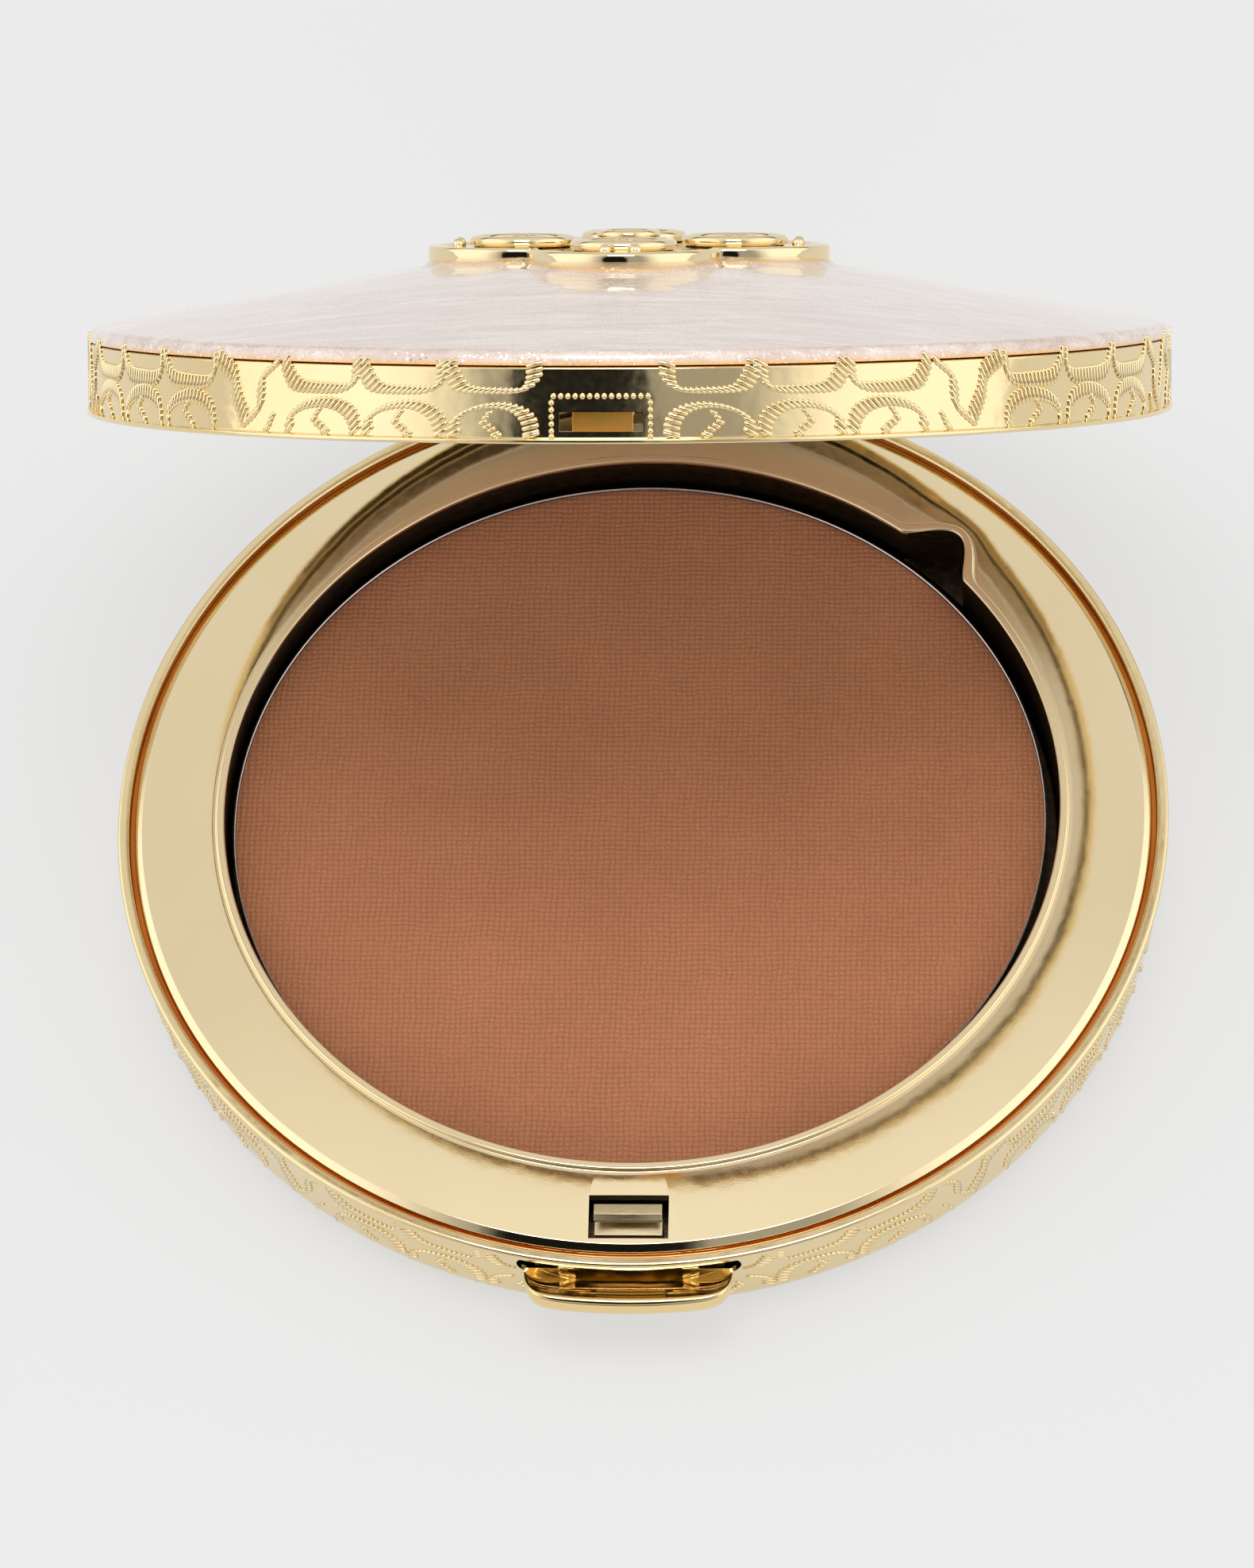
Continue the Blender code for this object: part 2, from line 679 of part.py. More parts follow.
def make_spring(name, x):
    """Compression spring between the carriage and the well's wall."""
    reach = math.sqrt(well_outer_radius ** 2 - (abs(x) - spring_radius) ** 2)
    start_y = carriage_back_y + fine_gap + spring_wire
    end_y = -reach - fine_gap - spring_wire
    middle_z = (carriage_top_z + carriage_bottom_z) / 2.0 + 0.2 * MM
    per_turn = 8
    total = spring_turns * per_turn
    curve = bpy.data.curves.new(name, "CURVE")
    curve.dimensions = "3D"
    curve.bevel_depth = spring_wire
    curve.bevel_resolution = 1
    curve.use_fill_caps = True
    spline = curve.splines.new("POLY")
    spline.points.add(total)
    for index, point in enumerate(spline.points):
        angle = 2.0 * math.pi * index / per_turn
        along = start_y + (end_y - start_y) * index / total
        point.co = (x + spring_radius * math.cos(angle), along,
                    middle_z + spring_radius * math.sin(angle), 1.0)
    curve.materials.append(steel)
    obj = bpy.data.objects.new(name, curve)
    parts_group.objects.link(obj)
    return obj


# Lid -------------------------------------------------------------------------------------

def make_lid_shell():
    """Band with its rim bead and window, and the metal cone under the enamel."""
    ledge_z = band_top_z - 0.15 * MM
    cone_z = dome_top_z - enamel_thickness - touch_gap
    edge_z = band_top_z + dome_rise(case_radius - shoulder) - enamel_thickness - touch_gap
    profile = [
        (0.0, cone_z),
        (emblem_seat_radius, cone_z),
        (inner_radius - 0.5 * MM, edge_z),
        (relief_radius - 0.1 * MM, min(ledge_z, edge_z)),
        (relief_radius, min(ledge_z, edge_z) - 0.2 * MM),
        (relief_radius, lid_rim_z + rim_bead + 0.1 * MM),
        (case_radius, lid_rim_z + rim_bead),
        (case_radius, lid_rim_z + edge_break),
        (case_radius - edge_break, lid_rim_z),
        (inner_radius, lid_rim_z),
        (inner_radius, edge_z - wall),
        (emblem_seat_radius, cone_z - wall),
        (0.0, cone_z - wall),
    ]
    shell = turned("lid_shell", profile, gold_relief)
    half = window_width / 2.0
    low = base_height + window_rise
    window = box("band_window", (-half, -case_radius - 1.0 * MM, low),
                 (half, -inner_radius + 1.0 * MM, low + window_height), cutter=True)
    boolean(shell, window)
    boolean(shell, hinge_clearance("lid_hinge_clearance"))
    boolean(shell, leaf_notch("lid_leaf_notch", hinge_length, hinge_z, hinge_z + leaf_drop + touch_gap))
    return shell


def make_enamel():
    """Domed enamel plate: shallow cone, rounded edge and a flat seat for the emblem."""
    edge = case_radius - shoulder
    under_edge = band_top_z + dome_rise(edge) - enamel_thickness
    under_top = dome_top_z - enamel_thickness
    profile = [
        (0.0, dome_top_z),
        (emblem_seat_radius, dome_top_z),
        (edge, band_top_z + dome_rise(edge)),
        (edge + shoulder * 0.45, band_top_z + shoulder * 0.62),
        (relief_radius, band_top_z + shoulder * 0.3),
        (relief_radius, under_edge + 0.05 * MM),
        (inner_radius - 0.5 * MM, under_edge),
        (emblem_seat_radius, under_top),
        (0.0, under_top),
    ]
    return turned("lid_enamel", profile, pearl_enamel)


def make_mirror_frame():
    """Liner ring that closes the lid and holds the mirror by its edge."""
    opening = mirror_radius - mirror_lap
    outer = inner_radius - 0.4 * MM
    low = base_height + frame_rise
    high = low + frame_thickness
    rebate = mirror_radius + touch_gap
    profile = [
        (rebate, high + mirror_thickness * 0.5),
        (rebate + frame_wall, high + mirror_thickness * 0.5),
        (outer, high),
        (outer, low + edge_break),
        (outer - edge_break, low),
        (opening + 0.45 * MM, low),
        (opening, low + 0.45 * MM),
        (opening, high),
        (rebate, high),
    ]
    frame = turned("mirror_frame", profile, pan_metal, closed=True)
    half = hinge_length / 2.0 + touch_gap
    relief = box("frame_hinge_relief", (-half, inner_radius - 0.9 * MM, low - 1.0 * MM),
                 (half, case_radius, high + 2.0 * MM), cutter=True)
    boolean(frame, relief)
    return frame


def make_mirror():
    low = base_height + frame_rise + frame_thickness + fine_gap
    bevel = 0.3 * MM
    profile = [
        (0.0, low + mirror_thickness),
        (mirror_radius, low + mirror_thickness),
        (mirror_radius, low + bevel),
        (mirror_radius - bevel, low),
        (0.0, low),
    ]
    return turned("mirror", profile, mirror_glass)


def make_mirror_pad():
    low = base_height + frame_rise + frame_thickness + mirror_thickness + 2.0 * fine_gap
    return rod("mirror_pad", (0.0, 0.0, low), "Z", pad_radius, pad_thickness, foam_pad, 36)


def make_lid_catch():
    """Bent blade under the liner; its tooth goes under the hook's nose when the lid is shut."""
    top_z = base_height + frame_rise - fine_gap
    outline = [
        (catch_front_y, top_z),
        (catch_front_y, tooth_low_z),
        (catch_back_y + catch_tooth * 0.6, tooth_low_z),
        (catch_back_y + catch_tooth, tooth_top_z - tooth_height * 0.5),
        (catch_back_y + catch_tooth, tooth_top_z),
        (catch_back_y, tooth_top_z),
        (catch_back_y, top_z - catch_bend),
        (catch_back_y + catch_foot, top_z - catch_bend),
        (catch_back_y + catch_foot, top_z),
    ]
    return prism("lid_catch", outline, -catch_width / 2.0, catch_width / 2.0, gold_polished, plane="YZ")


# Emblem ----------------------------------------------------------------------------------

def lobed_outline():
    """Edge of the union of equal circles set round the centre, as seen from above."""
    notch = math.pi / lobe_count
    meet = loop_distance * math.cos(notch) + math.sqrt(lobe_radius ** 2
                                                          - (loop_distance * math.sin(notch)) ** 2)
    sweep = math.atan2(meet * math.sin(notch), meet * math.cos(notch) - loop_distance)
    per_lobe = 12
    points = []
    for lobe in range(lobe_count):
        turn = 2.0 * math.pi * lobe / lobe_count
        for index in range(per_lobe):
            angle = turn - sweep + 2.0 * sweep * index / per_lobe
            points.append((loop_distance * math.cos(turn) + lobe_radius * math.cos(angle),
                           loop_distance * math.sin(turn) + lobe_radius * math.sin(angle)))
    return points


def make_plaque():
    """Lobed plate with softened edges."""
    low = dome_top_z + fine_gap
    plaque = prism("emblem_plaque", lobed_outline(), low, low + plaque_thickness, gold_emblem)
    bevel = plaque.modifiers.new("edge", "BEVEL")
    bevel.width = 0.2 * MM
    bevel.segments = 1
    bevel.limit_method = "ANGLE"
    bevel.angle_limit = math.radians(50.0)
    return plaque


def make_loop(number):
    """Wire ring soldered on one lobe."""
    turn = 2.0 * math.pi * (number - 1) / lobe_count
    wire = loop_wire
    profile = [(loop_radius + wire * math.cos(angle), wire * math.sin(angle))
               for angle in [math.radians(90.0 - 60.0 * index) for index in range(6)]]
    ring = turned("emblem_loop_%d" % number, profile, gold_emblem, small_steps, closed=True)
    high = dome_top_z + 2.0 * fine_gap + plaque_thickness + wire
    ring.location = (loop_distance * math.cos(turn), loop_distance * math.sin(turn), high)
    return ring


def make_boss():
    """Domed centre boss with a stepped collar."""
    low = dome_top_z + 2.0 * fine_gap + plaque_thickness
    profile = [(0.0, low + boss_height)]
    profile += [(boss_radius * 0.78 * math.sin(angle), low + boss_height * (0.45 + 0.55 * math.cos(angle)))
                for angle in (0.5, 1.0, math.pi / 2.0)]
    profile += [(boss_radius, low + boss_height * 0.4), (boss_radius, low), (0.0, low)]
    return turned("emblem_boss", profile, gold_emblem, small_steps)


def make_emblem_rivets(plaque, enamel, shell):
    """Pins from the plaque through enamel and shell."""
    low = dome_top_z - enamel_thickness - touch_gap - wall + fine_gap
    high = dome_top_z + plaque_thickness * 0.7
    return make_rivets("emblem_rivet", rivet_spread, 0.0, low, high, (plaque, enamel, shell), gold_emblem)


def build():
    make_base_shell()
    make_bottom_disc()
    make_ballast()
    make_magnet()
    make_inner_tray()
    make_pan()
    make_powder()
    make_base_knuckle()
    make_hinge_pin()
    make_latch_guide()
    make_spring("latch_spring_left", -stem_spread)
    make_spring("latch_spring_right", stem_spread)

    latch_axis = empty_at("latch_axis", (0.0, carriage_front_y, carriage_top_z))
    tab = make_push_tab()
    slider = make_latch_slider()
    for piece in [tab, slider] + make_tab_rivets(tab, slider):
        hang(piece, latch_axis)

    hinge_axis = empty_at("hinge_axis", (0.0, hinge_y, hinge_z))
    shell = make_lid_shell()
    enamel = make_enamel()
    plaque = make_plaque()
    lid_pieces = [shell, enamel, plaque, make_boss()] + make_emblem_rivets(plaque, enamel, shell)
    lid_pieces += [make_loop(number) for number in range(1, lobe_count + 1)]
    lid_pieces += [make_mirror_frame(), make_mirror(), make_mirror_pad(), make_lid_catch()]
    lid_pieces += make_lid_knuckles()
    for piece in lid_pieces:
        hang(piece, hinge_axis)
        for modifier in piece.modifiers:
            if modifier.type == "BOOLEAN" and modifier.object.parent is None:
                hang(modifier.object, hinge_axis)
    hinge_axis.rotation_euler = (-lid_open_angle, 0.0, 0.0)

    for obj in parts_group.objects:
        if obj.type == "MESH":
            smooth(obj)


build()
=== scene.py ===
"""Looks for the powder compact: fine shapes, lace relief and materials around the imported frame.

Metres, +Z up, front (thumb tab) at -Y, hinge at +Y. Lid pieces are drawn closed, in the same
places as the closed case, and then turned about the hinge axis to the frame's rest pose.
"""

import json
import math
import random

import bmesh
import bpy
from mathutils import Matrix, Vector


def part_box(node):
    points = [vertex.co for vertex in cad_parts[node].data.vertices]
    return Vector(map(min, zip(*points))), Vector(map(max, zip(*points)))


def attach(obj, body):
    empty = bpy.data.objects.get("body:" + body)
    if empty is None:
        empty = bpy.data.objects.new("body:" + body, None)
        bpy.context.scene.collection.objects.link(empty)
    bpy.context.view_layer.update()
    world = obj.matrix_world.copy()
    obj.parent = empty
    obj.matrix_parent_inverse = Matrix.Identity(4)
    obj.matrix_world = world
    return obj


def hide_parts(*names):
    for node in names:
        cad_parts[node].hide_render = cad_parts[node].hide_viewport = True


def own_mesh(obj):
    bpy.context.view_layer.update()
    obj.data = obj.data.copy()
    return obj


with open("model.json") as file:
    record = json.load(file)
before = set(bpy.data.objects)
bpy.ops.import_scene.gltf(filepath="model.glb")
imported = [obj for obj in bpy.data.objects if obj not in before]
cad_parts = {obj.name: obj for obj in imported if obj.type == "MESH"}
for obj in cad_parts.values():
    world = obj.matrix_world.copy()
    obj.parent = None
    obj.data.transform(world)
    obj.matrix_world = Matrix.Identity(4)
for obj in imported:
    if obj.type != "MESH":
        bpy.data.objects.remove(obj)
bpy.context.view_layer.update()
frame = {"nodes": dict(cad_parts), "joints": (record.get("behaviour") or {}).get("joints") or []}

MM = 0.001

# Sizes read from the frame --------------------------------------------------------------

shell_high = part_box("base_shell")[1]
tray_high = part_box("inner_tray")[1]
pan_low, pan_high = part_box("powder_pan")
tab_low, tab_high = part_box("push_tab")

hinge = next(joint for joint in frame["joints"] if joint["name"] == "lid_hinge")
hinge_point = Vector(hinge["pos_m"])
lid_open = math.radians(-hinge["range_deg"][0])

case_radius = shell_high.x
base_height = shell_high.z
tray_radius = tray_high.x
pan_centre = (pan_low + pan_high) / 2.0
pan_radius = (pan_high.x - pan_low.x) / 2.0

# Sizes of the design --------------------------------------------------------------------

wall = 0.9 * MM
inner_radius = case_radius - wall
relief_depth = 0.3 * MM
ground_radius = case_radius - relief_depth
rim_bead = 0.55 * MM
seam_gap = 0.3 * MM
touch_gap = 0.3 * MM
side_taper = 0.45 * MM
foot_radius = 36.9 * MM
foot_corner = 2.6 * MM
ring_z = base_height + 0.8 * MM
well_radius = 31.75 * MM
lip_width = 0.65 * MM
well_floor_z = ring_z - 5.5 * MM
tray_bevel = 0.65 * MM
ring_fall = 0.75 * MM
notch_angle = math.radians(46.0)
notch_depth = 3.4 * MM
notch_reach = 2.65 * MM
notch_half = 3.5 * MM
slot_width = 5.9 * MM
slot_length = 3.4 * MM
slot_front_y = -(tray_radius - tray_bevel - 0.4 * MM)
lid_rim_z = base_height + seam_gap
band_top_z = lid_rim_z + 5.7 * MM
dome_height = 5.1 * MM
dome_top_z = band_top_z + dome_height
shoulder = 0.9 * MM
emblem_seat = 13.6 * MM
enamel_thickness = 0.9 * MM
emblem_reach = 14.8 * MM
lobe_radius = 7.0 * MM
lobe_count = 4
plaque_thickness = 1.25 * MM
knuckle_radius = 1.25 * MM
hinge_length = 12.4 * MM
base_knuckle = 5.0 * MM
leaf_drop = 3.2 * MM
fine_steps = 240


# Mesh helpers ---------------------------------------------------------------------------

def add_object(name, mesh):
    obj = bpy.data.objects.new(name, mesh)
    bpy.context.scene.collection.objects.link(obj)
    return obj


def shade(obj, angle=32.0):
    obj.data.shade_smooth()
    obj.data.set_sharp_from_angle(angle=math.radians(angle))


def set_material(obj, material):
    obj.data.materials.clear()
    obj.data.materials.append(material)


def lathe(name, profile, steps=fine_steps, closed=False):
    """Turn an (r, z) profile round Z; it runs down the outer side. Points on the axis become poles."""
    verts = []
    rows = []
    for radius, height in profile:
        if radius < 1e-7:
            rows.append([len(verts)] * steps)
            verts.append((0.0, 0.0, height))
            continue
        rows.append(list(range(len(verts), len(verts) + steps)))
        for step in range(steps):
            angle = 2.0 * math.pi * step / steps
            verts.append((radius * math.cos(angle), radius * math.sin(angle), height))
    pairs = list(zip(rows, rows[1:]))
    if closed:
        pairs.append((rows[-1], rows[0]))
    faces = []
    for upper, lower in pairs:
        for step in range(steps):
            after = (step + 1) % steps
            corners = [upper[step], lower[step], lower[after], upper[after]]
            unique = list(dict.fromkeys(corners))
            if len(unique) > 2:
                faces.append(unique)
    mesh = bpy.data.meshes.new(name)
    mesh.from_pydata(verts, [], faces)
    mesh.validate()
    return add_object(name, mesh)


def rounded(points, segments=5, hold=0.04 * MM):
    """Polyline through (r, z, fillet) points, with arcs at the fillets and a point held close to each."""
    out = []
    for index, (radius, height, fillet) in enumerate(points):
        here = Vector((radius, height))
        if not fillet or index in (0, len(points) - 1):
            out.append((radius, height))
            continue
        before = Vector(points[index - 1][:2]) - here
        after = Vector(points[index + 1][:2]) - here
        half = before.angle(after) / 2.0
        reach = min(fillet / math.tan(half), before.length * 0.48, after.length * 0.48)
        bend = reach * math.tan(half)
        start = here + before.normalized() * reach
        end = here + after.normalized() * reach
        centre = here + (before.normalized() + after.normalized()).normalized() * (bend / math.sin(half))
        out.append(tuple(start + before.normalized() * min(hold, before.length * 0.4 - reach * 0.4)))
        first = start - centre
        last = end - centre
        turn = first.angle_signed(last)
        for step in range(segments + 1):
            angle = -turn * step / segments
            spun = Vector((first.x * math.cos(angle) - first.y * math.sin(angle),
                           first.x * math.sin(angle) + first.y * math.cos(angle)))
            out.append(tuple(centre + spun))
        out.append(tuple(end + after.normalized() * min(hold, after.length * 0.4 - reach * 0.4)))
    return out


def block(name, low, high):
    mesh = bpy.data.meshes.new(name)
    bm = bmesh.new()
    bmesh.ops.create_cube(bm, size=1.0)
    bmesh.ops.scale(bm, vec=[top - bottom for bottom, top in zip(low, high)], verts=bm.verts)
    bmesh.ops.translate(bm, vec=[(top + bottom) / 2.0 for bottom, top in zip(low, high)], verts=bm.verts)
    bm.to_mesh(mesh)
    bm.free()
    return add_object(name, mesh)


def cylinder_x(name, centre, radius, length, steps=48):
    mesh = bpy.data.meshes.new(name)
    bm = bmesh.new()
    bmesh.ops.create_cone(bm, cap_ends=True, segments=steps, radius1=radius, radius2=radius, depth=length)
    bm.transform(Matrix.Translation(centre) @ Matrix.Rotation(math.pi / 2.0, 4, "Y"))
    bm.to_mesh(mesh)
    bm.free()
    return add_object(name, mesh)


def extruded(name, outline, low, high):
    """Closed prism over a flat outline."""
    count = len(outline)
    verts = [(x, y, low) for x, y in outline] + [(x, y, high) for x, y in outline]
    faces = [list(range(count))[::-1], list(range(count, 2 * count))]
    for index in range(count):
        after = (index + 1) % count
        faces.append([index, after, count + after, count + index])
    mesh = bpy.data.meshes.new(name)
    mesh.from_pydata(verts, [], faces)
    return add_object(name, mesh)


def bake_modifiers(obj):
    """Replace the mesh by its evaluated copy and drop the modifiers."""
    graph = bpy.context.evaluated_depsgraph_get()
    mesh = bpy.data.meshes.new_from_object(obj.evaluated_get(graph))
    obj.modifiers.clear()
    obj.data = mesh


def combine(obj, other, operation="DIFFERENCE"):
    """Exact Boolean with a helper solid, applied at once."""
    modifier = obj.modifiers.new("shape", "BOOLEAN")
    modifier.operation = operation
    modifier.solver = "EXACT"
    modifier.object = other
    bake_modifiers(obj)
    bpy.data.objects.remove(other)


def bevel(obj, width, segments=3, angle=40.0):
    modifier = obj.modifiers.new("edges", "BEVEL")
    modifier.width = width
    modifier.segments = segments
    modifier.limit_method = "ANGLE"
    modifier.angle_limit = math.radians(angle)
    modifier.harden_normals = False
    bake_modifiers(obj)


def open_lid(obj):
    """Turn a piece drawn on the closed case to the rest pose."""
    turn = Matrix.Rotation(-lid_open, 4, "X")
    obj.data.transform(Matrix.Translation(hinge_point) @ turn @ Matrix.Translation(-hinge_point))


def place(obj, material, body, slot, *nodes):
    """Finish a piece: material, body and the CAD nodes it stands for; the slot argument is not used."""
    set_material(obj, material)
    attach(obj, body)
    if nodes:
        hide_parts(*nodes)


# Materials ------------------------------------------------------------------------------

class Graph:
    """Small helper to write node materials in few lines."""

    def __init__(self, name):
        self.material = bpy.data.materials.new(name)
        self.material.use_nodes = True
        self.tree = self.material.node_tree
        self.shader = self.tree.nodes["Principled BSDF"]

    def node(self, kind, **settings):
        made = self.tree.nodes.new(kind)
        for key, value in settings.items():
            setattr(made, key, value)
        return made

    def link(self, start, end):
        self.tree.links.new(start, end)

    def coords(self, scale=(1.0, 1.0, 1.0)):
        """Object coordinates in millimetres, stretched by scale."""
        source = self.node("ShaderNodeTexCoord")
        mapping = self.node("ShaderNodeMapping")
        mapping.inputs["Scale"].default_value = [value * 1000.0 for value in scale]
        self.link(source.outputs["Object"], mapping.inputs["Vector"])
        return mapping.outputs["Vector"]

    def noise(self, vector, scale, detail=3.0, roughness=0.5, distortion=0.0):
        noise = self.node("ShaderNodeTexNoise")
        noise.inputs["Scale"].default_value = scale
        noise.inputs["Detail"].default_value = detail
        noise.inputs["Roughness"].default_value = roughness
        noise.inputs["Distortion"].default_value = distortion
        self.link(vector, noise.inputs["Vector"])
        return noise.outputs["Fac"]

    def voronoi(self, vector, scale, feature="F1"):
        cells = self.node("ShaderNodeTexVoronoi", feature=feature)
        cells.inputs["Scale"].default_value = scale
        self.link(vector, cells.inputs["Vector"])
        return cells

    def ramp(self, factor, *stops):
        ramp = self.node("ShaderNodeValToRGB")
        elements = ramp.color_ramp.elements
        while len(elements) < len(stops):
            elements.new(0.5)
        for element, (position, color) in zip(elements, stops):
            element.position = position
            element.color = (*color, 1.0) if isinstance(color, tuple) else (color, color, color, 1.0)
        self.link(factor, ramp.inputs["Fac"])
        return ramp.outputs["Color"]

    def math(self, operation, first, second=None):
        made = self.node("ShaderNodeMath", operation=operation)
        for socket, value in zip(made.inputs, (first, second)):
            if value is None:
                continue
            if isinstance(value, (int, float)):
                socket.default_value = value
            else:
                self.link(value, socket)
        return made.outputs["Value"]

    def mix(self, factor, first, second, blend="MIX"):
        made = self.node("ShaderNodeMix", data_type="RGBA", blend_type=blend)
        if isinstance(factor, (int, float)):
            made.inputs["Factor"].default_value = factor
        else:
            self.link(factor, made.inputs["Factor"])
        for socket, value in zip((made.inputs[6], made.inputs[7]), (first, second)):
            if isinstance(value, tuple):
                socket.default_value = (*value, 1.0)
            else:
                self.link(value, socket)
        return made.outputs[2]

    def bump(self, height, strength, distance, normal=None):
        made = self.node("ShaderNodeBump")
        made.inputs["Strength"].default_value = strength
        made.inputs["Distance"].default_value = distance
        self.link(height, made.inputs["Height"])
        if normal is not None:
            self.link(normal, made.inputs["Normal"])
        return made.outputs["Normal"]

    def attribute(self, name):
        return self.node("ShaderNodeAttribute", attribute_name=name).outputs["Fac"]


def gold(name, color, deep, rough, smear=0.05, ripple=0.0006):
    """Plated gold: slight tone and polish variation, faint surface ripple and fine scratches."""
    graph = Graph(name)
    shader = graph.shader
    shader.inputs["Metallic"].default_value = 1.0
    coords = graph.coords()
    broad = graph.noise(coords, 0.09, 2.0)
    tone = graph.ramp(broad, (0.3, deep), (0.7, color))
    graph.link(tone, shader.inputs["Base Color"])
    fine = graph.noise(coords, 2.2, 4.0, 0.6)
    polish = graph.ramp(fine, (0.25, max(rough - smear, 0.02)), (0.8, rough + smear))
    graph.link(polish, shader.inputs["Roughness"])
    ripple_height = graph.noise(coords, 0.35, 2.0)
    grain_height = graph.noise(coords, 9.0, 3.0)
    first = graph.bump(ripple_height, 0.12, ripple)
    graph.link(graph.bump(grain_height, 0.05, 0.00002, first), shader.inputs["Normal"])
    return graph.material


def metal(name, color, rough, scratch_scale=(1.0, 14.0, 14.0)):
    """Plain worked metal with drawn grain."""
    graph = Graph(name)
    graph.shader.inputs["Metallic"].default_value = 1.0
    coords = graph.coords(scratch_scale)
    grain = graph.noise(coords, 0.8, 3.0, 0.6)
    low = tuple(value * 0.86 for value in color)
    graph.link(graph.ramp(grain, (0.3, low), (0.7, color)), graph.shader.inputs["Base Color"])
    graph.link(graph.ramp(grain, (0.2, rough * 0.75), (0.8, rough * 1.35)), graph.shader.inputs["Roughness"])
    graph.link(graph.bump(grain, 0.15, 0.00003), graph.shader.inputs["Normal"])
    return graph.material


def plain(name, color, rough, speck=0.1):
    """Moulded plastic or foam with a fine grain."""
    graph = Graph(name)
    coords = graph.coords()
    grain = graph.noise(coords, 5.0, 4.0, 0.6)
    low = tuple(value * (1.0 - speck) for value in color)
    graph.link(graph.ramp(grain, (0.3, low), (0.7, color)), graph.shader.inputs["Base Color"])
    graph.link(graph.ramp(grain, (0.3, rough), (0.8, min(rough * 1.2, 1.0))),
               graph.shader.inputs["Roughness"])
    graph.link(graph.bump(grain, 0.25, 0.00005), graph.shader.inputs["Normal"])
    return graph.material


def pearl_enamel():
    """Pale pink pearl: brushed swirls, fine glitter under gloss, and amber where it thins at its edges."""
    graph = Graph("pearl_enamel")
    shader = graph.shader
    coords = graph.coords((0.16, 1.0, 1.0))
    swirl = graph.noise(coords, 0.55, 5.0, 0.6, 1.2)
    body = graph.ramp(swirl, (0.3, (0.57, 0.43, 0.365)), (0.5, (0.67, 0.54, 0.47)),
                      (0.72, (0.79, 0.69, 0.635)))
    thin = graph.attribute("thin")
    amber = graph.mix(thin, body, (0.8, 0.4, 0.07))
    flakes = graph.voronoi(graph.coords(), 6.5)
    spark = graph.ramp(graph.node_color_value(flakes), (0.9, 0.0), (0.93, 1.0))
    graph.link(graph.mix(graph.math("MULTIPLY", spark, 0.5), amber, (1.0, 0.96, 0.9)),
               shader.inputs["Base Color"])
    graph.link(graph.math("MULTIPLY", spark, 0.8), shader.inputs["Metallic"])
    shader.inputs["Roughness"].default_value = 0.3
    shader.inputs["Coat Weight"].default_value = 0.9
    shader.inputs["Coat Roughness"].default_value = 0.06
    shader.inputs["Sheen Weight"].default_value = 0.15
    scatter = graph.node("ShaderNodeVectorMath", operation="SUBTRACT")
    scatter.inputs[1].default_value = (0.5, 0.5, 0.5)
    graph.link(flakes.outputs["Color"], scatter.inputs[0])
    wave = graph.bump(swirl, 0.2, 0.0004)
    add = graph.node("ShaderNodeVectorMath", operation="MULTIPLY_ADD")
    add.inputs[1].default_value = (0.5, 0.5, 0.5)
    graph.link(scatter.outputs["Vector"], add.inputs[0])
    graph.link(wave, add.inputs[2])
    tidy = graph.node("ShaderNodeVectorMath", operation="NORMALIZE")
    graph.link(add.outputs["Vector"], tidy.inputs[0])
    graph.link(tidy.outputs["Vector"], shader.inputs["Normal"])
    graph.link(graph.bump(graph.noise(graph.coords(), 0.25, 2.0), 0.15, 0.0006), shader.inputs["Coat Normal"])
    return graph.material


def node_color_value(self, voronoi):
    """One channel of a Voronoi cell's random colour."""
    split = self.node("ShaderNodeSeparateColor")
    self.link(voronoi.outputs["Color"], split.inputs["Color"])
    return split.outputs["Red"]


Graph.node_color_value = node_color_value


